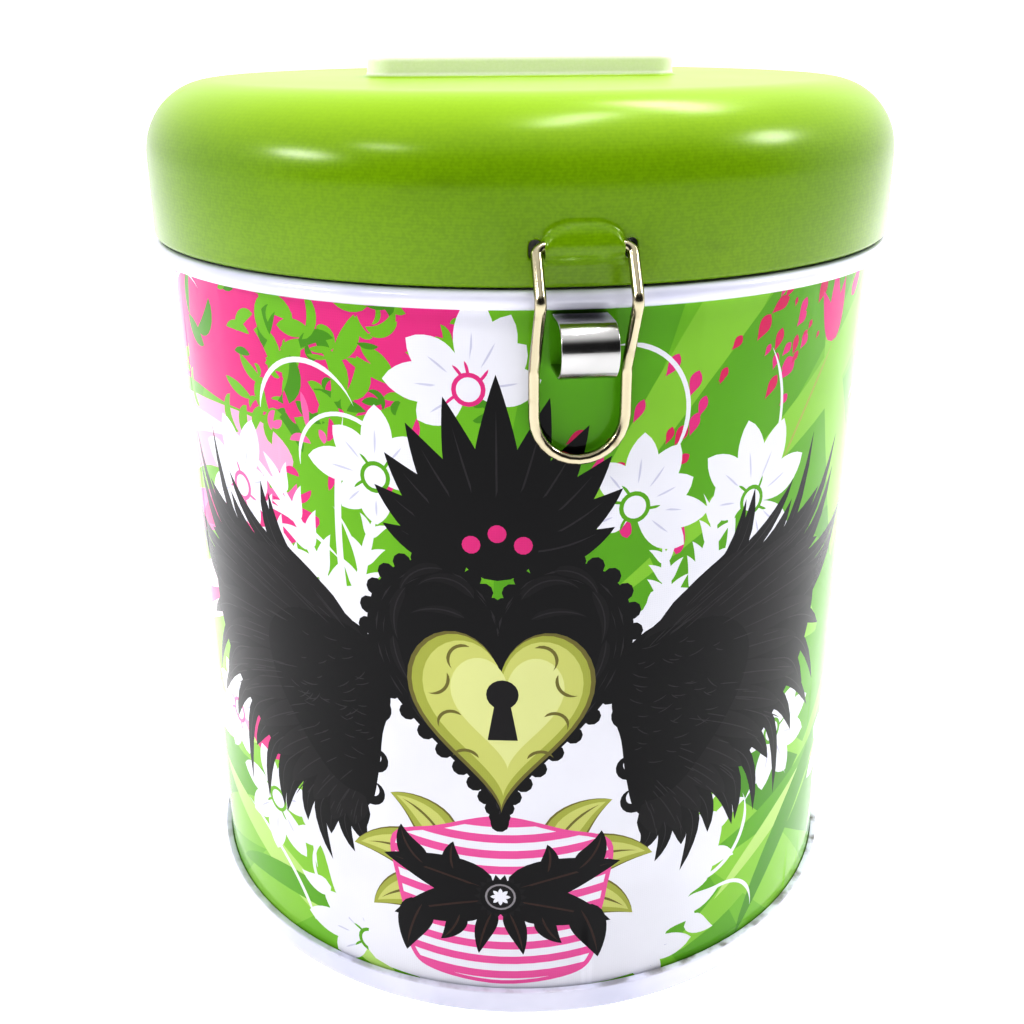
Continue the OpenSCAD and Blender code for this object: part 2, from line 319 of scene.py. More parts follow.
# A mesh being gathered: points in millimetres, faces, and for each face its finish and ink
class Gather:
    def __init__(self):
        self.points, self.faces, self.finishes, self.inks = [], [], [], []

    def point(self, place):
        self.points.append(place)
        return len(self.points) - 1

    def face(self, corners, finish=0, colour=plainInk):
        corners = [c for i, c in enumerate(corners) if c != corners[i - 1]]
        if len(set(corners)) > 2:
            self.faces.append(corners)
            self.finishes.append(finish)
            self.inks.append(colour)

    # Joins two rings of points, the first below or outside the second as seen from the front of the faces
    def band(self, first, second, finish=0):
        for i in range(len(first)):
            j = (i + 1) % len(first)
            self.face([first[i], first[j], second[j], second[i]], finish)

    # Rings of a profile at the given angles; a profile point on the axis is one point
    def rings(self, profile, angles):
        made = []
        for radius, height in profile:
            if radius < 1e-6:
                made.append([self.point((0, 0, height))] * len(angles))
            else:
                made.append([self.point(spot(radius, a, height)) for a in angles])
        return made

    def piece(self, name, materials, sharp=38, radial=None):
        mesh = bpy.data.meshes.new(name)
        mesh.from_pydata([Vector(p) / 1000 for p in self.points], [], self.faces)
        for material in materials:
            mesh.materials.append(material)
        mesh.polygons.foreach_set("material_index", self.finishes)
        mesh.polygons.foreach_set("use_smooth", [True] * len(self.faces))
        ink = mesh.color_attributes.new("ink", "FLOAT_COLOR", "CORNER")
        sizes = np.array([len(f) for f in self.faces])
        ink.data.foreach_set("color", np.repeat(np.array(self.inks, np.float32), sizes, axis=0).ravel())
        mesh.update()
        mesh.set_sharp_from_angle(angle=math.radians(sharp))
        if radial:
            mesh.normals_split_custom_set_from_vertices(radial)
        made = bpy.data.objects.new(name, mesh)
        bpy.context.scene.collection.objects.link(made)
        print(f"{name}: {int((sizes - 2).sum())} triangles")
        return made


# Puts the piece on the body that it rides on, and hides the imported part it stands in for
def keep(made, body, node):
    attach(made, body)
    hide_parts(node)


# The piece with its modifiers worked out, as a plain mesh
def baked(made):
    graph = bpy.context.evaluated_depsgraph_get()
    mesh = bpy.data.meshes.new_from_object(made.evaluated_get(graph))
    made.modifiers.clear()
    made.data = mesh
    return made


# The print is laid out on the unrolled sheet, in millimetres: u runs to the right round the wall, from a
# line near the emblem's middle, and v is the height.
artwork = {
    "middle": -2.6,          # the emblem's own middle line
    "turn": -7.2,            # how far u = 0 lies from the latch, in degrees
    "seam": 150.0,           # where the side seam is, in degrees from the latch
    "margin": 1.1,           # unprinted strip beside the seam
    "lift": 1.9,             # the whole print is raised and stretched a little up the wall
    "stretch": 1.02,
    "seed": 7,
    "inks": {
        "green": (122, 188, 42), "leaf": (103, 172, 34), "moss": (84, 152, 29), "lime": (144, 202, 64),
        "mist": (190, 224, 128), "magenta": (224, 58, 138), "rose": (236, 112, 172), "blush": (244, 176, 208),
        "petal": (250, 220, 234), "white": (238, 238, 246), "shade": (206, 206, 226), "black": (16, 15, 17),
        "soot": (29, 27, 29), "barb": (50, 47, 50), "cream": (205, 209, 124), "pale": (222, 226, 158),
        "olive": (172, 178, 84), "bronze": (122, 116, 60), "stripe": (233, 98, 166), "cherry": (214, 44, 104),
        "bark": (64, 44, 38), "steel": (150, 146, 150),
    },
}

layers = []  # every printed shape, lowest first, as (ink, outline, the shape that it stays within)


def raised(outline):
    return [(u, artwork["lift"] + artwork["stretch"] * v) for u, v in outline]


def ink(name, outline, within=None):
    layers.append((name, raised(outline), raised(within) if within else None))


# How wide a blade is along its length, from 0 at its foot to 1 at its tip
bladeForms = {
    "petal": lambda t: math.sin(math.pi * t ** 1.2) ** 0.75,
    "leaf": lambda t: math.sin(math.pi * t ** 0.6) ** 0.9,
    "feather": lambda t: min(1, 0.45 + 1.6 * t) * (1 - t ** 3) ** 0.75,
    "lock": lambda t: (1 - t) ** 0.75,
    "strand": lambda t: min(1, 6 * t + 0.15, 3.5 * (1 - t) + 0.02),
    "drop": lambda t: math.sin(math.pi * t ** 1.5) ** 0.8,
    "swoosh": lambda t: math.sin(math.pi * t) ** 0.7,
}


def outlineOf(line, width, form):
    left, right = [], []
    last = len(line) - 1
    for i, (u, v) in enumerate(line):
        before, after = line[max(i - 1, 0)], line[min(i + 1, last)]
        du, dv = after[0] - before[0], after[1] - before[1]
        half = max(width / 2 * bladeForms[form](i / last), 0) / math.hypot(du, dv)
        left.append((u - dv * half, v + du * half))
        right.append((u + dv * half, v - du * half))
    outline = []
    for point in left + right[::-1]:
        if not outline or math.dist(point, outline[-1]) > 0.01:
            outline.append(point)
    if math.dist(outline[0], outline[-1]) < 0.01:
        outline.pop()
    return outline


# A curved line that leaves (u, v) at an angle and turns by bend degrees on its way
def bowed(u, v, turn, length, bend, steps):
    line = [(u, v)]
    for i in range(steps):
        heading = math.radians(turn + bend * (i + 0.5) / steps)
        u += length / steps * math.cos(heading)
        v += length / steps * math.sin(heading)
        line.append((u, v))
    return line


def blade(u, v, turn, length, width, bend=0, form="petal", steps=12):
    return outlineOf(bowed(u, v, turn, length, bend, steps), width, form)


def disc(u, v, radius, flat=1.0, count=20):
    return [
        (u + radius * math.cos(2 * math.pi * i / count), v + flat * radius * math.sin(2 * math.pi * i / count))
        for i in range(count)
    ]


# A smooth curve through the points
def flowing(points, steps=6, closed=True):
    line, count = [], len(points)
    for i in range(count if closed else count - 1):
        if closed:
            a, b, c, d = (points[(i + k) % count] for k in (-1, 0, 1, 2))
        else:
            a, b, c, d = (points[min(max(i + k, 0), count - 1)] for k in (-1, 0, 1, 2))
        for k in range(steps):
            t = k / steps
            line.append(tuple(
                0.5 * (2 * b[n] + (c[n] - a[n]) * t + (2 * a[n] - 5 * b[n] + 4 * c[n] - d[n]) * t * t
                       + (3 * b[n] - a[n] - 3 * c[n] + d[n]) * t ** 3)
                for n in (0, 1)
            ))
    if not closed:
        line.append(points[-1])
    return line


# A lily: pointed petals, widest past their middle, round a small ball, with a rib down each
def flower(u, v, petals, width=3.6, colour="white", heart="leaf"):
    for turn, length in petals:
        ink(colour, blade(u, v, turn - 6, length, width, 12))
        foot = (u + 2.4 * math.cos(math.radians(turn)), v + 2.4 * math.sin(math.radians(turn)))
        ink("shade", blade(*foot, turn - 3, length * 0.34, 0.22, 6, "swoosh", 5))
    ink(heart, disc(u, v, 1.65))
    ink(colour, disc(u, v, 1.2))
    for turn, length in petals[::2]:
        foot = (u + 1.3 * math.cos(math.radians(turn + 30)), v + 1.3 * math.sin(math.radians(turn + 30)))
        ink(heart, blade(*foot, turn + 34, 1.5, 0.3, 20, "strand", 5))


# One with its petals evenly round it, some longer than others
def lily(u, v, count, length, turn):
    flower(u, v, [(turn + 360 * i / count, length * (1 + 0.14 * math.sin(2.3 * i + u))) for i in range(count)])


# A stem with leaves in pairs up both sides
def spray(u, v, turn, length, bend, pairs, leaf):
    stem = bowed(u, v, turn, length, bend, 16)
    ink("white", outlineOf(stem, 1.1, "strand"))
    for i in range(pairs):
        place = (i + 0.8) / (pairs + 0.6)
        at = stem[round(place * 16)]
        heading = turn + bend * place
        size = leaf * (1.15 - 0.6 * place)
        for side in (-1, 1):
            ink("white", blade(*at, heading + side * 20, size, size * 0.36, side * 38, "leaf", 9))
    ink("white", blade(*stem[15], turn + bend, leaf * 0.7, leaf * 0.22, 10, "leaf", 8))


def curl(u, v, turn, length, bend, width, colour="white"):
    ink(colour, blade(u, v, turn, length, width, bend, "strand", 22))


# Long curved leaves, and the pink areas at the left
def backdrop():
    for turn, length, width, colour in [
        (78, 60, 13, "leaf"), (62, 70, 7, "lime"), (50, 75, 12, "leaf"), (38, 85, 6, "lime"),
        (27, 85, 13, "leaf"), (14, 90, 8, "moss"), (4, 90, 9, "lime"), (-8, 90, 10, "leaf"),
        (-18, 80, 6, "lime"), (-27, 75, 9, "moss"), (-38, 70, 9, "lime"), (-52, 60, 9, "leaf"),
        (-128, 60, 10, "lime"), (-141, 66, 7, "leaf"), (-150, 72, 11, "lime"), (-158, 80, 7, "mist"),
    ]:
        ink(colour, blade(-2, 40, turn, length * 1.3, width, -14, "swoosh", 16))
    for u in (-112, -88, 78, 96):  # the far side's rays
        for turn in range(20, 170, 22):
            ink("leaf" if turn % 44 < 22 else "lime", blade(u, 4, turn, 84, 10, -20, "swoosh", 16))
    ink("magenta", flowing([(-4, 90), (-5, 77), (-9, 72), (-15, 68.5), (-23, 67), (-33, 66), (-46, 66.5),
                            (-62, 64), (-80, 66), (-96, 62), (-112, 66), (-128, 74), (-134, 90)]))
    ink("blush", flowing([(-30, 65.5), (-25, 62), (-30, 59), (-42, 57.5), (-56, 53), (-74, 55), (-92, 51),
                          (-106, 55), (-100, 61), (-84, 64), (-62, 62.5), (-44, 65.2)]))
    ink("petal", flowing([(-34, 63), (-44, 61), (-58, 57), (-74, 58), (-88, 56), (-80, 60.5), (-60, 60.5),
                          (-44, 63.5)]))
    ink("rose", flowing([(-24, 58), (-32, 53), (-44, 49), (-58, 45), (-76, 47), (-96, 43), (-108, 49), (-92, 50),
                         (-74, 53), (-56, 51), (-42, 55), (-32, 58)]))
    ink("magenta", flowing([(-22, 56.5), (-28, 52), (-37, 51.5), (-48, 49), (-42, 54), (-33, 57.5)]))
    ink("lime", flowing([(-40, 55.5), (-52, 52), (-66, 49), (-84, 50), (-70, 52), (-54, 54.5)]))
    ink("petal", flowing([(-30, 50), (-44, 45.5), (-60, 39), (-80, 40), (-100, 36), (-94, 31),
                          (-76, 33), (-60, 32), (-46, 37), (-34, 44)]))
    ink("magenta", flowing([(-40, 43), (-56, 38), (-72, 38), (-90, 35), (-74, 35.5), (-57, 34.5)]))
    ink("blush", flowing([(-36, 29), (-50, 26), (-66, 27), (-84, 24), (-70, 22), (-52, 20), (-40, 23)]))
    ink("magenta", flowing([(-29, 28.5), (-34, 29), (-38, 27), (-35, 24), (-30, 25)]))
    for u, v, turn, length, width, bend, colour in [
        (-56, 3, 35, 46, 7, -34, "lime"), (-50, 16, -14, 40, 4.5, -22, "mist"),
        (-44, 4, 28, 30, 3.5, -50, "leaf"), (16, 2, 26, 60, 6.5, 26, "lime"), (20, 14, 8, 58, 5, 18, "leaf"),
        (24, 8, 40, 36, 3, -38, "mist"), (28, 1, 62, 38, 4, -40, "moss"), (40, 30, 62, 44, 6, -14, "leaf"),
        (30, 64, 20, 34, 5, 28, "lime"), (62, 8, 70, 50, 8, -30, "lime"), (66, 40, 40, 60, 7, -44, "leaf"),
        (96, 20, 110, 50, 7, 40, "moss"), (-120, 10, 60, 60, 9, -40, "lime"),
        (-100, 6, 20, 44, 6, -30, "leaf"), (-134, 40, 20, 40, 6, -50, "moss"),
    ]:
        ink(colour, blade(u, v, turn, length, width, bend, "swoosh", 16))


# Torn flecks of green over the magenta, thick towards the middle
def flecks(rng):
    for i in range(150):
        u = rng.uniform(-36, -4) if i < 116 else rng.uniform(-112, -40)
        v = rng.uniform(66.5, 80)
        if i < 116 and u < -30 and rng.random() < 0.5:
            continue
        colour = "moss" if rng.random() < 0.22 else "green"
        length = rng.uniform(1.6, 6.5)
        turn = rng.uniform(-35, 45) + (180 if rng.random() < 0.5 else 0)
        ink(colour, blade(u, v, turn, length, length * rng.uniform(0.2, 0.42), rng.uniform(-150, 150),
                          "swoosh", 9))
    for i in range(26):
        u, v = rng.uniform(-30, -8), rng.uniform(58, 67)
        ink("rose" if rng.random() < 0.5 else "magenta",
            blade(u, v, rng.uniform(0, 360), rng.uniform(1.5, 4), 0.9, rng.uniform(-90, 90), "swoosh", 8))


# Small pink drops and buds at the right
def droplets(rng):
    for i in range(46):
        far = rng.uniform(0, 1) ** 0.8
        u, v = 7 + 28 * far + rng.uniform(-4, 3), 60 + 17 * far + rng.uniform(-6, 6)
        length = rng.uniform(0.9, 3.2)
        ink("cherry" if rng.random() < 0.7 else "magenta",
            blade(u, v, rng.uniform(35, 72), length, length * rng.uniform(0.38, 0.6),
                  rng.uniform(-20, 20), "drop", 9))
    for u, v, turn, length in [(38, 72, 62, 7), (38, 72, 84, 8), (38, 72, 110, 6.5), (43, 76, 40, 5),
                               (10.5, 56, 100, 3.6), (16, 53.5, 70, 3.2), (6.5, 62, 60, 3.4),
                               (104, 66, 80, 7), (104, 66, 104, 7), (104, 66, 60, 6)]:
        ink("magenta", blade(u, v, turn, length, length * 0.36, 14, "leaf", 10))
    curl(30, 61, 58, 14, -12, 0.35, "olive")
    curl(104, 54, 84, 13, 8, 0.35, "olive")


def flowers():
    flower(-5.2, 71.4, [(86, 9), (38, 7), (8, 7), (142, 7.6), (176, 8.6), (212, 6), (60, 8.2)], 3.9,
           "white", "magenta")
    flower(-15, 62, [(88, 7.4), (134, 6.6), (172, 8), (48, 6), (14, 5.6), (222, 5.4), (270, 5)], 3.4)
    flower(-34, 57.4, [(70, 8.4), (112, 8), (158, 8.6), (200, 8), (250, 7.6), (20, 5), (300, 5)], 3.7,
           "white", "rose")
    flower(11.2, 59.2, [(84, 7.6), (52, 7.6), (128, 6), (350, 8.6), (320, 7.4), (20, 6.8), (200, 4.6)], 3.5)
    flower(25.4, 57.6, [(98, 8.8), (62, 9), (22, 8.8), (320, 8.6), (290, 8), (138, 8.4), (176, 6)], 3.8)
    flower(-40.5, 27, [(160, 7), (205, 7.6), (245, 7), (290, 5.6), (30, 6), (80, 6.4), (118, 6.6)], 3.5,
           "white", "rose")
    flower(-32.4, 18.6, [(172, 8), (216, 7.6), (262, 7.6), (308, 7.6), (20, 7), (62, 7), (112, 7)], 3.6,
           "white", "green")
    flower(-18.6, 4.6, [(178, 9.4), (146, 8), (108, 6.5), (70, 6), (350, 8), (214, 6)], 3.7)
    flower(32.2, 27.6, [(338, 8.6), (8, 8.6), (262, 7.6), (300, 8.2), (86, 5), (40, 6.4), (176, 6)], 3.6)
    flower(12.2, 4.6, [(356, 8.6), (60, 6.6), (318, 6), (94, 6), (150, 5)], 3.5)
    flower(-8.6, 0.6, [(150, 6), (110, 5), (70, 5), (30, 6)], 3.2)
    for u, v, count, length, turn in [(-60, 71, 6, 8.6, 80), (-72, 22, 7, 8, 60), (-86, 46, 7, 9.4, 40),
                                      (-100, 70, 6, 8, 95), (-112, 26, 7, 9, 70), (-128, 54, 6, 8.6, 90),
                                      (-66, 4, 6, 7.4, 120), (56, 68, 6, 8.4, 60), (52, 18, 7, 8.2, 100),
                                      (72, 50, 7, 9.6, 75), (88, 14, 6, 8.4, 90), (92, 72, 6, 7.6, 50),
                                      (104, 36, 6, 8.2, 85), (-134, 8, 6, 7.8, 60)]:
        lily(u, v, count, length, turn)


def stems():
    for u, v, turn, length, bend, width in [
        (-29.4, 67, 84, 17, -150, 0.55), (-24, 62, 96, 16, -170, 0.45), (-20, 46, 108, 24, 46, 0.9),
        (-19, 46, 98, 22, -20, 0.8), (-20.5, 46, 126, 24, 34, 0.8), (-18, 46, 70, 13, 60, 0.5),
        (-34, 56, 14, 16, -58, 0.6), (9, 75.4, 6, 18, -150, 0.5), (20, 47, 70, 13, 50, 0.8),
        (19, 47, 100, 14, -60, 0.7), (21.6, 50, 62, 12, 66, 1.0), (24, 50, 40, 9, 80, 0.6),
        (28, 62, 66, 12, 60, 0.4), (-24, 8, 150, 15, -170, 0.5), (-27, 4, 110, 18, 60, 0.6),
        (-26, 12, 100, 20, -80, 0.5), (20, 21, 20, 13, 96, 0.6), (20, 12, -14, 15, 130, 0.6),
        (22, 9, 30, 12, -120, 0.5), (28, 20, 60, 10, -120, 0.45), (16, 4, 60, 13, 70, 0.5),
        (-52, 66, 120, 22, -150, 0.6), (-78, 36, 80, 26, 120, 0.7), (-92, 20, 60, 26, -140, 0.7),
        (60, 56, 80, 20, 140, 0.6), (64, 28, 50, 24, -150, 0.7), (84, 24, 100, 24, 120, 0.7),
        (100, 50, 130, 22, -140, 0.6), (-118, 40, 70, 26, -150, 0.7), (-124, 18, 40, 24, 140, 0.6),
    ]:
        curl(u, v, turn, length, bend, width)
    spray(-20, 45, 110, 17, 14, 5, 5.6)
    spray(-21, 45, 142, 16, -30, 4, 4.6)
    spray(-18, 46, 84, 13, -16, 3, 4.0)
    spray(17.6, 46.6, 62, 12, 26, 4, 4.6)
    spray(15, 46, 84, 9, 20, 3, 3.8)
    for u, v, turn in [(-70, 40, 110), (-96, 12, 80), (-110, 46, 60), (58, 34, 110), (78, 62, 60),
                       (96, 4, 100), (-84, 62, 150)]:
        spray(u, v, turn, 16, 24, 4, 5.2)


# White flood behind the emblem, with leafy ends
def flood():
    ink("white", flowing([(-22, 47), (-17, 50), (-12, 47), (10, 47), (14, 50), (22, 48), (26, 44), (16, 40),
                          (14, 30), (16, 22), (24, 20), (23, 12), (20, 10), (21, 7), (17, 6), (14, 1.5),
                          (-16, 1.5), (-19, 7), (-23, 9), (-25, 15), (-28, 18), (-26, 22), (-18, 24),
                          (-17, 40)]))
    for u, v, turn, length, bend in [(19, 9, -10, 6, 40), (20, 7, -50, 5, 30), (-24, 10, 200, 5, -50),
                                     (-25, 16, 170, 6, 60), (-22, 8, 240, 6, -40), (22, 14, 20, 5, -60),
                                     (-26, 20, 150, 5, 50), (23, 18, 60, 6, -70)]:
        ink("white", blade(u, v, turn, length, 2.6, bend, "leaf", 9))


# One wing, as a fan of feathers from an arm to a rim. side is 1 on the right and -1 on the left.
def wing(side, root, reach, rng):
    arm = flowing([(0.6, 41), (5, 44), (11, 43.4), (10, 37), (6, 30), (3.6, 25)], 10, False)
    rim = flowing([(13, 47.4), (18.6, 53.4), (23.6, 55.2), (28.4, 51.6), (33, 54.2), (37.4, 50.4),
                   (40, 45.6), (37, 40.4), (34, 36.2), (33, 31), (29.6, 27), (24.6, 24.4), (21, 20.4),
                   (16.6, 19.4), (12, 17.4), (8, 17.6), (4, 18)], 8, False)

    def place(point):
        return root + side * point[0] * reach, point[1]

    # A line out through the fan, at t round it, with a tip that hooks
    def quill(t, start, end, hook=0.0):
        a, b = arm[round(t * (len(arm) - 1))], rim[round(t * (len(rim) - 1))]
        du, dv = b[0] - a[0], b[1] - a[1]
        line = []
        for k in range(13):
            s = start + (end - start) * k / 12
            off = 0.055 * math.sin(math.pi * s) + hook * max(s - 0.6, 0) ** 2
            line.append(place((a[0] + du * s - dv * off, a[1] + dv * s + du * off)))
        return line

    ink("black", [place(p) for p in flowing([
        (-0.6, 37), (-0.2, 42), (3, 45.4), (8, 46.6), (14, 46.8), (20, 48), (27, 47.4), (31, 43), (29, 36),
        (23, 30), (16, 24.6), (8, 22), (3, 23.4), (1.4, 28), (0.6, 33)], 5)])
    for i in range(27):
        t = (i + 0.5) / 27
        hook = (1.5 if t < 0.45 else -1.3) * (0.5 + 0.5 * (i % 3))
        end = 1.04 if i % 2 else 0.93
        ink("black", outlineOf(quill(t, 0.12, end, hook), 3.2 - 0.8 * (i % 2), "feather"))
        ink("barb", outlineOf(quill(t, 0.34, end * 0.94, hook), 0.13, "strand"))
    for i in range(17):
        t = (i + 0.5) / 17
        ink("soot", outlineOf(quill(t, 0.1, 0.7 + 0.06 * (i % 2)), 3.2, "feather"))
        ink("barb", outlineOf(quill(t, 0.2, 0.66), 0.14, "strand"))
    ink("black", [place(p) for p in flowing([
        (-0.4, 37), (0, 41.4), (3.2, 44.6), (8, 45.6), (13.6, 45), (17.4, 41.4), (16.6, 36), (12.6, 30.4),
        (7.6, 25.6), (3.4, 25), (1.8, 29), (0.8, 33.4)], 5)])
    for i in range(70):
        t, start = rng.random(), rng.uniform(0.02, 0.62)
        ink("barb", outlineOf(quill(t, start, start + rng.uniform(0.1, 0.26)), 0.12, "strand"))
    for i in range(44):  # short downy strokes over the shoulder
        u = rng.uniform(1, 13)
        v = rng.uniform(26 + u * 0.6, 44)
        stroke = bowed(u, v, rng.uniform(-60, 10), rng.uniform(1.0, 2.4), 30, 5)
        ink("barb", outlineOf([place(p) for p in stroke], 0.13, "strand"))
    for u, v, turn, bend in [(1.2, 35, 190, -200), (2.0, 28.6, 200, -220), (0.2, 40.4, 180, -170),
                             (3, 24.4, 215, -200)]:
        hook = [place(p) for p in bowed(u, v, turn, 4.2, bend, 10)]
        ink("black", outlineOf(hook, 1.4, "lock"))


# A line drawn to the right of u = 0, moved to (u, v) and flipped when side is -1
def flipped(line, side, u, v=0):
    return [(u + side * a, v + b) for a, b in line]


def heartLine(u, v, wide, high, count=64):
    line = []
    for i in range(count):
        t = 2 * math.pi * i / count
        x = math.sin(t) ** 3
        y = (13 * math.cos(t) - 5 * math.cos(2 * t) - 2 * math.cos(3 * t) - math.cos(4 * t)) / 16
        line.append((u + wide / 2 * x, v + high / 1.85 * y))
    return line


# A palmette of dark leaves above the heart
def crest(u, v):
    for turn, length, width, bend in [
        (184, 10, 4, -34), (164, 12, 4.6, -26), (146, 13, 4.6, -18), (128, 14, 4.6, -10), (110, 15, 4.6, -6),
        (90, 16.5, 5, 0), (70, 15, 4.6, 6), (52, 14, 4.6, 10), (34, 13, 4.6, 18), (16, 12, 4.6, 26),
        (-4, 10, 4, 34),
    ]:
        foot = (u + 2.2 * math.cos(math.radians(turn)), v + 1.2 * math.sin(math.radians(turn)))
        ink("black", blade(*foot, turn, length, width, bend, "leaf", 12))
        ink("barb", blade(*foot, turn + bend * 0.08, length * 0.8, 0.2, bend * 0.8, "strand", 10))
    ink("black", disc(u, v + 0.6, 4.2, 0.9))
    for du, dv in [(-2.6, 0.6), (0, 1.8), (2.6, 0.6)]:
        ink("magenta", disc(u + du, v + dv, 0.95, 1, 14))


# The winged heart's middle: crest, black heart and the pale heart with a keyhole
def emblem(u):
    crest(u, 55.2)
    for point in heartLine(u, 41.4, 28.4, 31.4, 52):
        ink("black", disc(*point, 1.0, 1, 10))
    ink("black", heartLine(u, 41.4, 28.4, 31.4))
    for wide, high, width in [(26.2, 29, 0.22), (24.6, 27.2, 0.1)]:  # stitched line and a finer one inside it
        line = heartLine(u, 41.3, wide, high, 96)
        for a, b, c in zip(line[::3], line[1::3], line[2::3]):
            ink("barb", outlineOf([a, b, c], width, "swoosh"))
    for side in (-1, 1):  # engraved leaf scrolls on the black
        for du, v, turn, length, width, bend in [
            (2.4, 50, 64, 7, 1.3, -110), (5.6, 53, 10, 6.4, 1.2, -90), (9.6, 50.6, -50, 6.4, 1.2, -60),
            (11.2, 45, -90, 6, 1.1, -40), (9.6, 38.4, -116, 5.4, 1.0, -30), (3.4, 47.8, 30, 6, 0.9, -60),
        ]:
            line = bowed(du, v, turn, length, bend, 10)
            ink("soot", outlineOf(flipped(line, side, u), width, "leaf"))
            ink("barb", outlineOf(flipped(line, side, u), 0.16, "strand"))
    ink("bronze", heartLine(u + 0.2, 37.4, 20, 22))
    ink("olive", heartLine(u + 0.2, 37.5, 19, 21))
    ink("cream", heartLine(u + 0.4, 37.7, 17, 18.8))
    ink("pale", heartLine(u + 0.9, 38.0, 12, 13.4))
    ink("soot", disc(u + 0.4, 39.2, 1.7))  # keyhole
    ink("soot", [(u - 0.3, 38.8), (u + 1.1, 38.8), (u + 2.0, 33.8), (u - 1.2, 33.8)])
    for side in (-1, 1):
        for du, v, turn, length, bend in [(3.4, 44.6, 20, 4.4, -150), (5.8, 41.4, 250, 4, 120),
                                          (4.4, 36.6, 40, 4, -150), (2.6, 31.6, 60, 3.4, -120)]:
            line = bowed(du, v, turn, length, bend, 10)
            ink("bronze", outlineOf(flipped(line, side, u + 0.4), 0.36, "strand"))


def shield(u):
    for side in (-1, 1):  # pale leaves behind the shield's top corners
        for foot, turn, length, width, bend in [((6, 17), 34, 12, 5.4, -60), ((6, 20), 72, 9, 4.4, -60),
                                                ((7, 14), 0, 9.4, 4.6, -50)]:
            leafLine = bowed(*foot, turn, length, bend, 12)
            ink("bronze", outlineOf(flipped(leafLine, side, u), width + 0.5, "leaf"))
            ink("olive", outlineOf(flipped(leafLine, side, u), width, "leaf"))
            ink("cream", outlineOf(flipped(leafLine[1:-1], side, u), width * 0.62, "leaf"))
            ink("bronze", outlineOf(flipped(leafLine[:-2], side, u), 0.3, "strand"))
    edge = [(-12.4, 20.4), (-12, 14), (-11, 9), (-10.6, 5), (-8, 2.8), (0, 1.7), (8, 2.8), (10.6, 5),
            (11, 9), (12, 14), (12.4, 20.4), (7, 22.6), (0, 24.4), (-7, 22.6)]
    ink("stripe", flowing([(u + a, v) for a, v in edge], 6))
    inner = flowing([(u + 0.955 * a, 13 + 0.955 * (v - 13)) for a, v in edge], 6)
    ink("white", inner)
    for i in range(11):
        v = 3.0 + 2.05 * i
        line = [(u - 13 + 26 * k / 14, v + 1.6 * ((k - 7) / 7) ** 2) for k in range(15)]
        ink("stripe", [(a, b + 0.52) for a, b in line] + [(a, b - 0.52) for a, b in line[::-1]], inner)
    scrolls(u, 13.6)


# A pair of dark leaf scrolls from a round boss
def scrolls(u, v):
    for side in (-1, 1):
        for du, dv, turn, length, width, bend, form in [
            (0.6, 0.8, 22, 13.4, 5.4, -16, "leaf"), (0.6, -0.2, -8, 12.6, 5.2, -18, "leaf"),
            (8.4, 3.4, 30, 6, 3.2, 60, "leaf"), (8.8, -1.4, -60, 7.8, 4.2, -24, "leaf"),
            (5.2, 3.2, 70, 4, 2.2, 40, "leaf"), (4.6, -2.2, -80, 4.8, 2.4, 40, "leaf"),
            (0.8, -1.6, -64, 6.4, 2.4, -20, "leaf"),
        ]:
            line = bowed(du, dv, turn, length, bend, 12)
            ink("black", outlineOf(flipped(line, side, u, v), width, form))
            ink("bark", outlineOf(flipped(line[1:-1], side, u, v), 0.26, "strand"))
    for i in range(18):
        ink("soot", blade(u, v + 0.2, 20 * i, 3.0, 0.9, 0, "petal", 5))
    ink("black", disc(u, v + 0.2, 2.35))
    ink("steel", disc(u, v + 0.2, 1.75))
    ink("soot", disc(u, v + 0.2, 1.5))
    for i in range(8):
        ink("white", blade(u, v + 0.2, 45 * i, 1.15, 0.5, 0, "petal", 6))


def drawPrint(rng):
    backdrop()
    flecks(rng)
    droplets(rng)
    stems()
    flowers()
    flood()
    middle = artwork["middle"]
    wing(1, middle + 12.6, 0.95, rng)
    wing(-1, middle - 12.4, 0.93, rng)
    shield(middle)
    emblem(middle)


# The part of a line inside a rectangle, or None
def clipped(a, b, low, high):
    enter, leave = 0.0, 1.0
    for n in (0, 1):
        run = b[n] - a[n]
        if abs(run) < 1e-9:
            if not low[n] < a[n] < high[n]:
                return None
            continue
        first, second = sorted(((low[n] - a[n]) / run, (high[n] - a[n]) / run))
        enter, leave = max(enter, first), min(leave, second)
    if enter >= leave:
        return None
    return [tuple(a[n] + (b[n] - a[n]) * t for n in (0, 1)) for t in (enter, leave)]


# Cuts a flat strip, from low to high at the given columns, along all the lines and loose points
def cutStrip(columns, low, high, lines, loose=()):
    points = [(u, low) for u in columns] + [(u, high) for u in columns] + list(loose)
    count = len(columns)
    edges = [(i, i + count) for i in range(count)]
    for i in range(count - 1):
        edges += [(i, i + 1), (i + count, i + count + 1)]
    for a, b in lines:
        edges.append((len(points), len(points) + 1))
        points += [a, b]
    made = delaunay_2d_cdt([Vector(p) for p in points], edges, [], 0, 1e-4, False)
    return np.array([tuple(v) for v in made[0]]), made[2]


# The column at u; the last is the first again, because the strip closes on itself
def columnAt(columns, u):
    return int(np.abs(np.array(columns) - u).argmin()) % (len(columns) - 1)


# Which of the places lie inside a closed outline, by how often it winds round each of them
def windsRound(outline, places):
    turns = np.zeros(len(places), int)
    x, y = places[:, 0], places[:, 1]
    for (ax, ay), (bx, by) in zip(outline, outline[1:] + outline[:1]):
        if ay == by:
            continue
        side = (bx - ax) * (y - ay) - (x - ax) * (by - ay)
        rising = (ay <= y) & (by > y) & (side > 0)
        falling = (by <= y) & (ay > y) & (side < 0)
        turns += rising.astype(int) - falling.astype(int)
    return turns != 0


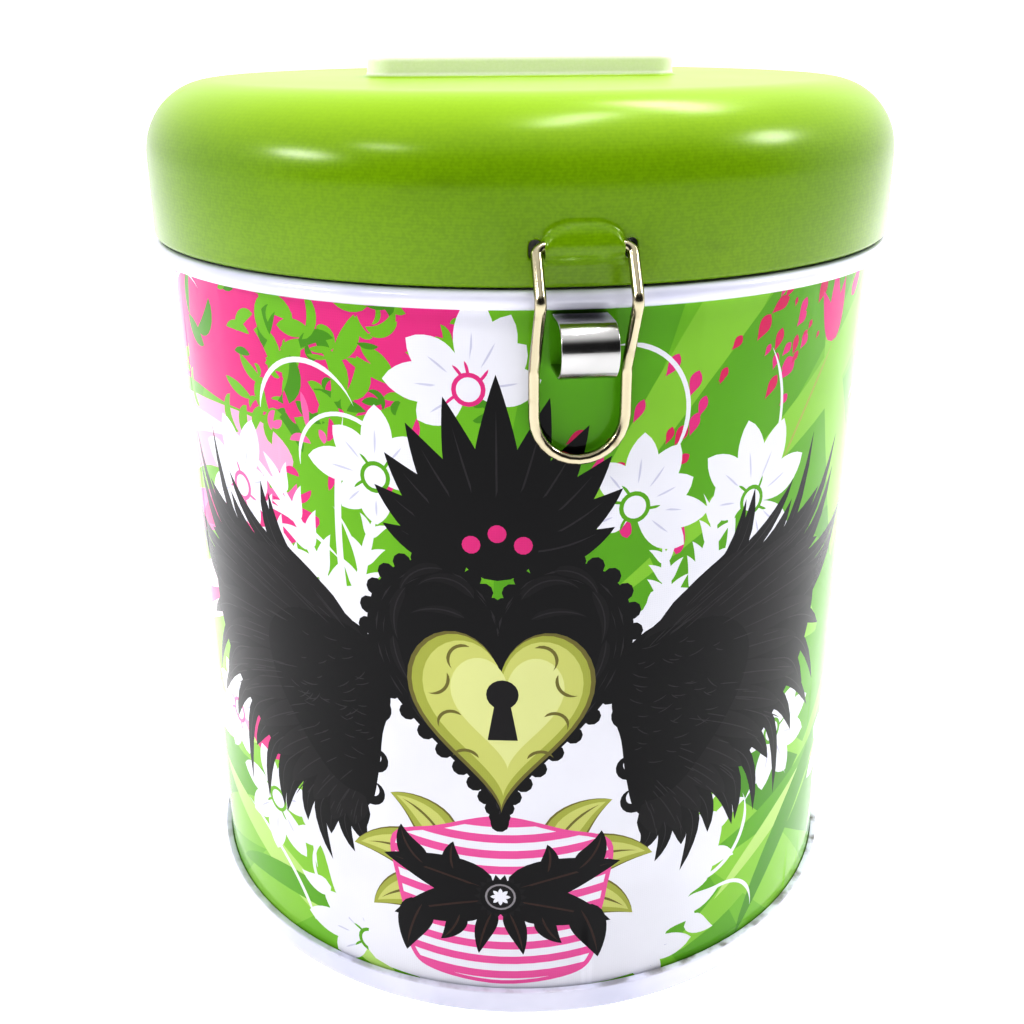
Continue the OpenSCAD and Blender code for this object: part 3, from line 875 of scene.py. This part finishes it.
# The ink on each place of the sheet: the last shape printed over it
def inkAt(places, ground):
    inks = {name: linear(colour) for name, colour in artwork["inks"].items()}
    colours = np.tile(np.array(inks[ground]), (len(places), 1))
    order = np.argsort(places[:, 0])
    placed = places[order, 0]
    for name, outline, within in layers:
        us, vs = [p[0] for p in outline], [p[1] for p in outline]
        some = order[np.searchsorted(placed, min(us)):np.searchsorted(placed, max(us))]
        some = some[(places[some, 1] > min(vs)) & (places[some, 1] < max(vs))]
        if len(some):
            inside = windsRound(outline, places[some])
            if within:
                inside &= windsRound(within, places[some])
            colours[some[inside]] = inks[name]
    return colours


# The rolled and printed body, its bead and its neck. Sizes in millimetres.
bodyWall = {
    "printLow": 0.6,        # the sheet's lower edge, inside the seam ring
    "beadRadius": 0.95,     # of the half-round bead's section
    "fillet": 0.25,
    "curl": 0.6,            # radius of the rolled edge on the neck
    "grooveDepth": 0.16,    # the closed side seam
    "foldWidth": 1.55,      # half of the folded strip inside
    "bareEdge": (214, 214, 224),
}


def buildBody():
    radius, sheet = tin["wallRadius"], tin["sheet"]
    start = artwork["seam"] - 360 - artwork["turn"]
    perDegree = radius * math.pi / 180
    left, right = start * perDegree, (start + 360) * perDegree
    low, high = bodyWall["printLow"], tin["beadLow"] - bodyWall["fillet"]
    near = [0.12, 0.35, 0.7, artwork["margin"], 1.5, 1.6]
    columns = [left + d for d in [0] + near] + [right - d for d in near[::-1] + [0]]
    steps = round(360 / tin["columnStep"])
    columns = sorted(columns + [left + (right - left) * i / steps for i in range(1, steps)])

    drawPrint(random.Random(artwork["seed"]))
    print("print drawn:", len(layers), "shapes")
    corner = (left + artwork["margin"] + 0.02, low + 0.02)
    opposite = (right - artwork["margin"] - 0.02, high - 0.02)
    lines = []
    for _, outline, _ in layers:
        for a, b in zip(outline, outline[1:] + outline[:1]):
            part = clipped(a, b, corner, opposite)
            if part:
                lines.append(part)
    flat, triangles = cutStrip(columns, low, high, lines)
    middles = np.array([flat[list(t)].mean(0) for t in triangles])
    colours = inkAt(middles, "green")
    bareEdge = (middles[:, 0] < left + artwork["margin"]) | (middles[:, 0] > right - artwork["margin"])
    colours[bareEdge] = linear(bodyWall["bareEdge"])

    shell = Gather()

    def groove(u):
        away = min(u - left, right - u)
        return bodyWall["grooveDepth"] * max(0, 1 - away / 0.5) ** 1.5

    angles = [u / perDegree + artwork["turn"] for u in columns[:-1]]
    lowRing, highRing, index, radial = {}, {}, [], []
    for u, v in flat:
        edge = lowRing if v < low + 0.005 else highRing if v > high - 0.005 else None
        key = columnAt(columns, u)
        if edge is not None and key in edge:
            index.append(edge[key])
            continue
        degrees = u / perDegree + artwork["turn"]
        at = shell.point(spot(radius - groove(u), degrees, v))
        inGroove = min(u - left, right - u) < 0.6
        radial.append((0, 0, 0) if inGroove or edge is not None else spot(1, degrees, 0))
        index.append(at)
        if edge is not None:
            edge[key] = at
    for corners, colour in zip(triangles, colours):
        shell.face([index[c] for c in corners], 0, tuple(colour))
    bottom, top = ([edge[i] for i in range(len(angles))] for edge in (lowRing, highRing))

    r, f, c = bodyWall["beadRadius"], bodyWall["fillet"], bodyWall["curl"]
    out = tin["beadRadius"] - r
    beadLow = tin["beadLow"]
    outer = arc(radius + f, high, f, 180, 90, 4)[1:]
    outer += arc(out, beadLow + r, r, -90, 90, 16)
    outer += arc(radius + f, beadLow + 2 * r + f, f, 270, 180, 4)
    outer += arc(radius - c, tin["neckTop"] - c, c, 0, 270, 20)
    inner = arc(radius - c, tin["neckTop"] - c, c - sheet, 270, 0, 12)
    wall = radius - sheet
    inner += [(wall, beadLow + 2 * r)] + arc(out, beadLow + r, r - sheet, 90, -90, 10) + [(wall, beadLow)]
    fold = len(inner)
    inner += [(wall, beadLow - 0.3), (wall, beadLow - 0.4), (wall, 4.3), (wall, 4.2), (wall, 0.35),
              (radius, 0.35)]
    rings = shell.rings(outer + inner, angles)
    for ring in rings[len(outer) + fold + 1:len(outer) + fold + 3]:  # the folded seam stands in from the wall
        for at in ring:
            x, y, z = shell.points[at]
            away = abs(math.remainder(math.degrees(math.atan2(x, -y)) - artwork["seam"], 360)) * perDegree
            if away < bodyWall["foldWidth"]:
                shrink = (wall - sheet) / wall
                shell.points[at] = (x * shrink, y * shrink, z)
    rings = [top] + rings + [bottom]
    for i in range(len(rings) - 1):
        shell.band(rings[i], rings[i + 1], 1 if i <= len(outer) else 2)
    radial += [(0, 0, 0)] * (len(shell.points) - len(radial))
    keep(shell.piece("printed_body", [printed, white, bare], 38, radial), "tin_body", "body_shell")


buildBody()


# The end seamed on underneath: a ring that grips the wall, and a recessed panel with a step
baseEnd = {"panel": 3.5, "step": 0.7, "stepRadius": 34.0, "ringHigh": 3.1, "fillet": 0.35}


def buildBase():
    sheet, ring, wall = tin["sheet"], tin["seamRadius"], tin["wallRadius"]
    inside = wall - sheet - 0.05
    chuck = inside - sheet
    panel, step, f = baseEnd["panel"], baseEnd["step"], baseEnd["fillet"]
    stepAt = baseEnd["stepRadius"]
    under = [(0, panel + step), (stepAt * 0.5, panel + step)]
    under += arc(stepAt - f, panel + step - f, f, 90, 0, 4)
    under += arc(stepAt + f - 0.05, panel + f, f, 180, 270, 4)[1:]
    under += arc(chuck - f, panel - f, f, 90, 0, 4)
    under += arc(chuck + 0.12, 0.12, 0.12, 180, 270, 3)
    under += arc(ring - 2 * sheet, 2 * sheet, 2 * sheet, 270, 360, 7)
    high = baseEnd["ringHigh"]
    under += arc(ring - 0.2, high - 0.2, 0.2, 0, 90, 5)
    under += arc(wall + 0.17, high - 0.12, 0.12, 90, 180, 3) + [(wall + 0.05, high - sheet)]
    under += [(ring - sheet, high - sheet), (ring - sheet, 2 * sheet), (ring - 2 * sheet, sheet),
              (inside, sheet)]
    under += [(inside, panel + sheet), (stepAt + sheet, panel + sheet), (stepAt + sheet, panel + step + sheet),
              (0, panel + step + sheet)]
    count = round(360 / tin["columnStep"])
    shell = Gather()
    rings = shell.rings(under, [360 * i / count for i in range(count)])
    for i in range(len(rings) - 1):
        shell.band(rings[i], rings[i + 1], 0 if under[i][0] > chuck - 8 and i < len(rings) - 8 else 1)
    keep(shell.piece("seamed_base", [white, bare]), "tin_body", "base_end")


buildBase()


# The drawn lid. Sizes in millimetres.
lidShape = {
    "shoulder": 8.0,
    "hem": 0.55,
    "columns": 144,
    "bossLength": 35.5, "bossWidth": 10.0, "bossHeight": 2.6, "bossCorner": 3.0,
    "bossFoot": 0.6, "bossRound": 0.9,
    "slotLength": 30.0, "slotWidth": 4.5, "slotRound": 0.45, "slotLip": 1.1,
    "coverOut": 1.08, "coverUp": 2.2, "coverDown": 1.6, "coverSide": 0.3,
    "slitWidth": 1.2, "slitUp": 0.64, "slitDown": 1.25, "slitCorner": 0.58,
    "grid": 0.27,        # spacing of the points where the skirt is pressed out
    "gridSide": 2.6,     # how far they reach past each leg, and below the pivot
    "gridLow": 1.8,
    "gridRows": 23,
    "pressReach": 12,    # no skirt is pressed out further than this from the middle of a cover
}


# A loop of points round a rounded rectangle, with the same count of points whatever its size
def roundedLoop(length, width, corner, perCorner=8, perSide=14):
    ends = []
    for x, y, turn in ((1, 1, 0), (-1, 1, 90), (-1, -1, 180), (1, -1, 270)):
        ends.append(arc(x * (length / 2 - corner), y * (width / 2 - corner), corner, turn, turn + 90, perCorner))
    loop = []
    for i, curve in enumerate(ends):
        after = ends[(i + 1) % 4][0]
        side = perSide if i % 2 == 0 else 3
        loop += curve
        for k in range(1, side):
            loop.append(tuple(curve[-1][n] + (after[n] - curve[-1][n]) * k / side for n in (0, 1)))
    return loop


# How far the skirt is pressed out at u along it and v above its wire pivot, for legs that far apart
def pressedOut(u, v, legs):
    above = max(v, 0)
    fall = max(0, 1 - (v / lidShape["coverUp" if v > 0 else "coverDown"]) ** 2)
    edge = (legs - lidShape["slitWidth"]) / 2 * (fall ** 0.35 if v > 0 else 1)
    side = min(1, max(0, (edge - abs(u)) / (lidShape["coverSide"] * (1 + 2 * above))))
    return lidShape["coverOut"] * side * (2 - side) * fall ** 0.9


def buildLid():
    radius, low = tin["lidRadius"], tin["lidLow"]
    hem, shoulder = lidShape["hem"], lidShape["shoulder"]
    flatTop = tin["bossTop"] - lidShape["bossHeight"]
    skirtLow, skirtHigh = low + hem, flatTop - shoulder
    perDegree = radius * math.pi / 180
    count = lidShape["columns"]
    columns = [perDegree * 360 * i / count for i in range(count + 1)]
    pivot = pivotZ
    lines, loose, slits = [], [], []
    fronts = [(columns[0], wires["bailWidth"]), (columns[-1], wires["bailWidth"]),
              (columns[-1] / 2, wires["hingeWidth"])]
    for middle, legs in fronts:
        for side in (-1, 1):
            at = middle + side * radius * math.asin(legs / 2 / radius)
            tall = lidShape["slitUp"] + lidShape["slitDown"]
            loop = [(at + y, pivot + (lidShape["slitUp"] - lidShape["slitDown"]) / 2 + x)
                    for x, y in roundedLoop(tall, lidShape["slitWidth"], lidShape["slitCorner"], 5, 6)]
            if columns[0] < at < columns[-1]:
                lines += list(zip(loop, loop[1:] + loop[:1]))
                slits.append(loop)
        reach, grid = legs / 2 + lidShape["gridSide"], lidShape["grid"]
        across = [middle + grid * i for i in range(-int(reach / grid), int(reach / grid) + 1)]
        across = [u for u in across if min(abs(u - c) for c in columns) > 0.3 * grid]
        across += [c for c in columns if abs(c - middle) < reach]
        for u in across:
            if columns[0] - 0.01 < u < columns[-1] + 0.01:
                loose += [(u, pivot - lidShape["gridLow"] + grid * k) for k in range(lidShape["gridRows"])]
    flat, triangles = cutStrip(columns, skirtLow, skirtHigh, lines, loose)
    shell = Gather()
    edges, index = {}, []
    for u, v in flat:
        border = v < skirtLow + 0.005 or v > skirtHigh - 0.005 or u < 0.001 or u > columns[-1] - 0.001
        out = 0
        for middle, legs in fronts:
            if abs(u - middle) < lidShape["pressReach"]:
                out = max(out, pressedOut(u - middle, v - pivot, legs))
        key = (columnAt(columns, u), round(v * 100)) if border else (u, v)
        if key not in edges:
            edges[key] = shell.point(spot(radius + out, u / perDegree, v))
        index.append(edges[key])
    middles = np.array([flat[list(t)].mean(0) for t in triangles])
    cutOut = np.zeros(len(triangles), bool)
    for loop in slits:
        cutOut |= windsRound(loop, middles)
    for corners, gone in zip(triangles, cutOut):
        if not gone:
            shell.face([index[c] for c in corners])

    def ringAt(height):
        return [edges[(i, round(height * 100))] for i in range(len(columns) - 1)]

    angles = [u / perDegree for u in columns[:-1]]
    rings = shell.rings(arc(radius - hem, skirtLow, hem, 180, 360, 8)[:-1], angles) + [ringAt(skirtLow)]
    for i in range(len(rings) - 1):
        shell.band(rings[i], rings[i + 1])
    over = arc(radius - shoulder, skirtHigh, shoulder, 0, 90, 20) + [(radius - shoulder - 1.2, flatTop)]
    rings = [ringAt(skirtHigh)] + shell.rings(over[1:], angles)
    for i in range(len(rings) - 1):
        shell.band(rings[i], rings[i + 1])

    length, width, corner = lidShape["bossLength"], lidShape["bossWidth"], lidShape["bossCorner"]
    foot, crown, top = lidShape["bossFoot"], lidShape["bossRound"], tin["bossTop"]
    side = [(foot * (1 - math.sin(math.radians(a))), flatTop + foot * (1 - math.cos(math.radians(a))))
            for a in range(0, 91, 18)]
    side += [(-crown * (1 - math.cos(math.radians(a))), top - crown * (1 - math.sin(math.radians(a))))
             for a in range(0, 91, 15)]
    side.append((-crown - 0.35, top))
    side = [(foot + 1.2, flatTop)] + side
    loops = [[(x, y, z) for x, y in roundedLoop(length + 2 * o, width + 2 * o, corner + o)] for o, z in side]
    lipR = lidShape["slotRound"]
    length, width, corner = lidShape["slotLength"], lidShape["slotWidth"], lidShape["slotWidth"] / 2 - 0.2
    lip = [(lipR * (1 - math.sin(math.radians(a))), top - lipR * (1 - math.cos(math.radians(a))))
           for a in range(0, 91, 18)]
    lip = [(lipR + 0.5, top)] + lip + [(0, top - lidShape["slotLip"] - tin["sheet"])]
    loops += [[(x, y, z) for x, y in roundedLoop(length + 2 * o, width + 2 * o, corner + o)] for o, z in lip]
    ids = [[shell.point(p) for p in loop] for loop in loops]
    for i in range(len(ids) - 1):
        shell.band(ids[i], ids[i + 1])

    rim = [shell.points[i][:2] for i in rings[-1]]
    inside = [p[:2] for p in loops[0]]
    points = rim + inside
    n = len(rim)
    edge = [(i, (i + 1) % n) for i in range(n)]
    edge += [(n + i, n + (i + 1) % len(inside)) for i in range(len(inside))]
    made = delaunay_2d_cdt([Vector(p) for p in points], edge, [], 0, 1e-5, True)
    names = rings[-1] + ids[0]
    flat = np.array([tuple(v) for v in made[0]])
    for corners in made[2]:
        if not windsRound(inside, flat[list(corners)].mean(0)[None])[0]:
            shell.face([names[made[3][c][0]] for c in corners])

    lid = shell.piece("drawn_lid", [green, bare], 50)
    wall = lid.modifiers.new("wall", "SOLIDIFY")
    wall.thickness = tin["sheet"] / 1000
    wall.offset = -1
    wall.use_even_offset = True
    wall.material_offset = 1
    keep(baked(lid), "lid", "lid_shell")


# Spring wire, bent with a fillet at each corner. Sizes in millimetres.
wires = {
    "radius": 0.55,
    "around": 16,
    "bendSteps": 7,
    "bailWidth": 8.75,
    "hingeWidth": 12.0,
    "pivotOut": 0.15,
    "pivotHeight": 3.75,    # above the lid's lower edge
    "pinBend": 0.85,        # at the corners by the pivots and in the hinge
    "kneeOut": 46.6,        # where the latch wire passes the bead: from the axis, and above the bead
    "kneeUp": 1.35,
    "kneeBend": 1.1,
    "hangBend": 1.5,
    "pinEnd": {"bail": 1.0, "hinge": 2.0},    # how far from the middle the ends stop
}


# Mesh of a bent wire's corners -> curve -> rounded corners -> tube
def wireTree():
    tree = bpy.data.node_groups.new("bendWire", "GeometryNodeTree")
    sockets = {}
    for name, kind in (("Corners", "NodeSocketGeometry"), ("Wire Radius", "NodeSocketFloat"),
                       ("Points Around", "NodeSocketInt"), ("Bend Steps", "NodeSocketInt"),
                       ("Metal", "NodeSocketMaterial")):
        sockets[name] = tree.interface.new_socket(name, in_out="INPUT", socket_type=kind).identifier
    tree.interface.new_socket("Wire", in_out="OUTPUT", socket_type="NodeSocketGeometry")
    add, link = tree.nodes.new, tree.links.new
    given, result = add("NodeGroupInput"), add("NodeGroupOutput")
    line = add("GeometryNodeMeshToCurve")
    link(given.outputs["Corners"], line.inputs["Mesh"])
    bend = add("GeometryNodeInputNamedAttribute")
    bend.data_type = "FLOAT"
    bend.inputs["Name"].default_value = "bend"
    bends = add("GeometryNodeFilletCurve")
    bends.mode = "POLY"
    link(line.outputs["Curve"], bends.inputs["Curve"])
    link(given.outputs["Bend Steps"], bends.inputs["Count"])
    link(bend.outputs["Attribute"], bends.inputs["Radius"])
    ring = add("GeometryNodeCurvePrimitiveCircle")
    link(given.outputs["Points Around"], ring.inputs["Resolution"])
    link(given.outputs["Wire Radius"], ring.inputs["Radius"])
    tube = add("GeometryNodeCurveToMesh")
    link(bends.outputs["Curve"], tube.inputs["Curve"])
    link(ring.outputs["Curve"], tube.inputs["Profile Curve"])
    tube.inputs["Fill Caps"].default_value = True
    whole = add("GeometryNodeRealizeInstances")
    link(tube.outputs["Mesh"], whole.inputs["Geometry"])
    metal = add("GeometryNodeSetMaterial")
    link(whole.outputs["Geometry"], metal.inputs["Geometry"])
    link(given.outputs["Metal"], metal.inputs["Material"])
    link(metal.outputs["Geometry"], result.inputs["Wire"])
    return tree, sockets


bendWire, wireSockets = wireTree()


# corners is a list of (x, y, z, bend radius)
def buildWire(name, corners, body, node):
    mesh = bpy.data.meshes.new(name)
    mesh.from_pydata([Vector(c[:3]) / 1000 for c in corners], [(i, i + 1) for i in range(len(corners) - 1)], [])
    mesh.materials.append(wireMetal)
    mesh.attributes.new("bend", "FLOAT", "POINT").data.foreach_set("value", [c[3] / 1000 for c in corners])
    made = bpy.data.objects.new(name, mesh)
    bpy.context.scene.collection.objects.link(made)
    tube = made.modifiers.new("bendWire", "NODES")
    tube.node_group = bendWire
    tube[wireSockets["Wire Radius"]] = wires["radius"] / 1000
    tube[wireSockets["Points Around"]] = wires["around"]
    tube[wireSockets["Bend Steps"]] = wires["bendSteps"]
    tube[wireSockets["Metal"]] = wireMetal
    baked(made)
    made.data.polygons.foreach_set("use_smooth", [True] * len(made.data.polygons))
    made.data.update()
    made.data.set_sharp_from_angle(angle=math.radians(50))
    print(f"{name}: {len(made.data.polygons)} faces")
    keep(made, body, node)


# Tin straps bent from flat strip. Sizes in millimetres.
straps = {
    "keeperWidth": 5.3, "keeperSheet": 0.4, "keeperTab": 3.0, "keeperBend": 0.3,
    "keeperHigh": tin["beadLow"] - 0.5, "keeperLow": tin["beadLow"] - 5.75,
    "hingeWidth": 9.5, "hingeSheet": 0.35, "hingeTab": 3.0, "hingeBend": 0.25, "hingeEye": 0.6,
    "hingeAxis": 45.2, "hingeZ": tin["beadLow"] - 1.9,
    "edge": 0.1,    # rounding of the cut edges
}


pivotRadius = tin["lidRadius"] + wires["pivotOut"]
pivotZ = tin["lidLow"] + wires["pivotHeight"]


# The bail hangs from the lid over the strap: out round the bead, in to the wall, and round its bow
def buildBail():
    half = wires["bailWidth"] / 2
    low = packed("latch_bail")[0]
    bow = low.z + wires["radius"]
    hang = tin["wallRadius"] + 1.0
    leg = [
        (wires["pinEnd"]["bail"], pivotRadius, pivotZ, 0), (half, pivotRadius, pivotZ, wires["pinBend"]),
        (half, wires["kneeOut"], tin["beadLow"] + wires["kneeUp"], wires["kneeBend"]),
        (half, hang, straps["keeperLow"], wires["hangBend"]), (half, hang, bow, half - 0.001),
    ]
    corners = [(-x, -y, z, bend) for x, y, z, bend in leg] + [(x, -y, z, bend) for x, y, z, bend in leg[::-1]]
    buildWire("latch_wire", corners, "latch_bail", "latch_bail")


buildBail()


def buildHingeWire():
    half = wires["hingeWidth"] / 2
    leg = [
        (wires["pinEnd"]["hinge"], pivotRadius, pivotZ, 0), (half, pivotRadius, pivotZ, wires["pinBend"]),
        (half, straps["hingeAxis"], straps["hingeZ"], wires["pinBend"]),
    ]
    corners = [(-x, y, z, bend) for x, y, z, bend in leg] + [(x, y, z, bend) for x, y, z, bend in leg[::-1]]
    buildWire("hinge_pin_wire", corners, "lid", "hinge_wire")


buildHingeWire()
buildLid()


# A strip with rounded edges along a path of (distance from the axis, height).
# side is -1 at the front of the tin and 1 at the back.
def buildStrap(name, path, width, thick, side, node):
    shell = Gather()
    edge, half, t = straps["edge"], width / 2, thick / 2
    section = []
    for x, y, turn in ((half - edge, t - edge, 0), (-half + edge, t - edge, 90),
                       (-half + edge, -t + edge, 180), (half - edge, -t + edge, 270)):
        section += arc(x, y, edge, turn, turn + 90, 3)
    rings = []
    for i, (across, height) in enumerate(path):
        before, after = path[max(i - 1, 0)], path[min(i + 1, len(path) - 1)]
        da, dz = after[0] - before[0], after[1] - before[1]
        size = math.hypot(da, dz)
        bend = 1.0
        if 0 < i < len(path) - 1:
            one = math.atan2(height - before[1], across - before[0])
            two = math.atan2(after[1] - height, after[0] - across)
            bend = 1 / max(0.5, math.cos(math.remainder(two - one, 2 * math.pi) / 2))
        na, nz = -dz / size * bend, da / size * bend
        rings.append([shell.point((x, side * (across + na * o), height + nz * o)) for x, o in section])
    for i in range(len(rings) - 1):
        shell.band(rings[i], rings[i + 1])
    shell.face(rings[0][::-1])
    shell.face(rings[-1])
    if enclosed(shell) < 0:
        shell.faces = [f[::-1] for f in shell.faces]
    keep(shell.piece(name, [bright], 40), "tin_body", node)


# Six times the volume inside the faces: below 0 when they are turned inside out
def enclosed(shell):
    volume = 0
    for corners in shell.faces:
        first = Vector(shell.points[corners[0]])
        for b, c in zip(corners[1:], corners[2:]):
            volume += first.dot(Vector(shell.points[b]).cross(Vector(shell.points[c])))
    return volume


def buildKeeper():
    t = straps["keeperSheet"]
    front = -packed("latch_keeper")[0].y - t / 2
    back = -packed("latch_keeper")[1].y + t / 2
    high, low, tab = straps["keeperHigh"] - t / 2, straps["keeperLow"] + t / 2, straps["keeperTab"]
    r, bend = (high - low) / 2, straps["keeperBend"]
    path = [(back, high + tab + t / 2), (back, high + 0.5)] + arc(back + bend, high + bend, bend, 180, 270, 4)
    path += arc(front - r, high - r, r, 90, -90, 24)
    path += arc(back + bend, low - bend, bend, 90, 180, 4) + [(back, low - 0.5), (back, low - tab - t / 2)]
    buildStrap("latch_strap", path, straps["keeperWidth"], t, -1, "latch_keeper")


def buildHingeStrap():
    t, z, axis = straps["hingeSheet"], straps["hingeZ"], straps["hingeAxis"]
    back = packed("hinge_strap")[0].y + t / 2
    tab, eye, bend = straps["hingeTab"], straps["hingeEye"] + t / 2, straps["hingeBend"]
    turn = math.degrees(math.asin(t / 2 / eye))
    path = [(back, z + t + tab), (back, z + t / 2 + 0.5)] + arc(back + bend, z + t / 2 + bend, bend, 180, 270, 4)
    path += arc(axis, z, eye, 180 - turn, -180 + turn, 28)
    path += arc(back + bend, z - t / 2 - bend, bend, 90, 180, 4) + [(back, z - t / 2 - 0.5), (back, z - t - tab)]
    buildStrap("hinge_strap_tin", path, straps["hingeWidth"], t, 1, "hinge_strap")


buildKeeper()
buildHingeStrap()


# Pale floor, white surroundings and soft lamps
studio = {
    "world": 0.92,
    "darkFront": 0.96,    # how much darker the room is behind the camera
    "floorGlow": 0.36,
    "floor": (246, 246, 248), "floorShade": (242, 242, 245),
    "darkFrom": -0.1, "darkTo": 0.45,       # across the room, from the sides to the middle behind the camera
    "darkFade": 0.55, "darkEnd": 0.92,      # and up it, where the dark ends
    "aim": 0.09, "distance": 0.6,           # of the lamps, in metres
    "lamps": [
        # name, angle from the latch, elevation, width, height, watts
        ("lampLeft", -74.5, 25, 0.19, 0.07, 0.75),
        ("lampLeftHigh", -53, 41, 0.13, 0.04, 0.28),
        ("lampOver", 60, 80, 0.28, 0.07, 1.1),
        ("lampRightHigh", 129, 59, 0.26, 0.11, 1.1),
        ("lampRight", 79, 33, 0.14, 0.12, 0.7),
    ],
}


def buildStudio():
    mesh = bpy.data.meshes.new("floor")
    mesh.from_pydata([(-3, -3, 0), (3, -3, 0), (3, 3, 0), (-3, 3, 0)], [], [(0, 1, 2, 3)])
    floor = bpy.data.objects.new("floor", mesh)
    bpy.context.scene.collection.objects.link(floor)
    finish = Finish("paleFloor", {"Roughness": 0.85})
    shade = finish.noise(3, 2).step(0.3, 0.7)
    finish.feed("Base Color", finish.mix(shade, linear(studio["floor"]), linear(studio["floorShade"])))
    finish.shader.inputs["Emission Color"].default_value = (1, 1, 1, 1)
    finish.shader.inputs["Emission Strength"].default_value = studio["floorGlow"]
    mesh.materials.append(finish.material)
    world = bpy.data.worlds.new("whiteRoom")
    bpy.context.scene.world = world
    world.use_nodes = True
    tree = world.node_tree
    room = tree.nodes.new("ShaderNodeTexCoord")
    parts = tree.nodes.new("ShaderNodeSeparateXYZ")
    tree.links.new(room.outputs["Generated"], parts.inputs["Vector"])
    across, up = Field(tree, parts.outputs["Y"]), Field(tree, parts.outputs["Z"])
    sideways = (0 - across).step(studio["darkFrom"], studio["darkTo"])
    dark = sideways * (1 - up.step(studio["darkFade"], studio["darkEnd"]))
    strength = studio["world"] * (1 - studio["darkFront"] * dark)
    tree.nodes["Background"].inputs["Color"].default_value = (1, 1, 1, 1)
    tree.links.new(strength.socket, tree.nodes["Background"].inputs["Strength"])
    for name, turn, rise, width, height, watts in studio["lamps"]:
        lamp = bpy.data.lights.new(name, "AREA")
        lamp.shape = "ELLIPSE"
        lamp.size, lamp.size_y, lamp.energy = width, height, watts
        made = bpy.data.objects.new(name, lamp)
        aim = Vector((0, 0, studio["aim"]))
        away = studio["distance"] * math.cos(math.radians(rise))
        lift = studio["distance"] * math.sin(math.radians(rise))
        made.location = aim + Vector(spot(away, turn, lift))
        made.rotation_euler = (aim - made.location).to_track_quat("-Z", "Y").to_euler()
        bpy.context.scene.collection.objects.link(made)


buildStudio()

# place is in metres and lens in millimetres; swing, down and roll are degrees
view = {"place": (-0.02024, -0.15137, 0.10677), "swing": -7.2, "down": 21.74, "roll": -0.26, "lens": 43.01}


def buildCamera():
    camera = bpy.data.cameras.new("camera")
    camera.lens = view["lens"]
    camera.sensor_width = 36
    camera.clip_start = 0.01
    made = bpy.data.objects.new("camera", camera)
    swing, down = math.radians(view["swing"]), math.radians(view["down"])
    ahead = Vector((-math.sin(swing) * math.cos(down), math.cos(swing) * math.cos(down), -math.sin(down)))
    turn = ahead.to_track_quat("-Z", "Y") @ Quaternion((0, 0, 1), math.radians(view["roll"]))
    made.rotation_euler = turn.to_euler()
    made.location = view["place"]
    bpy.context.scene.collection.objects.link(made)
    bpy.context.scene.camera = made


buildCamera()
bpy.context.scene.view_settings.view_transform = "Standard"
bpy.context.scene.view_settings.look = "High Contrast"
print("studio and camera set")
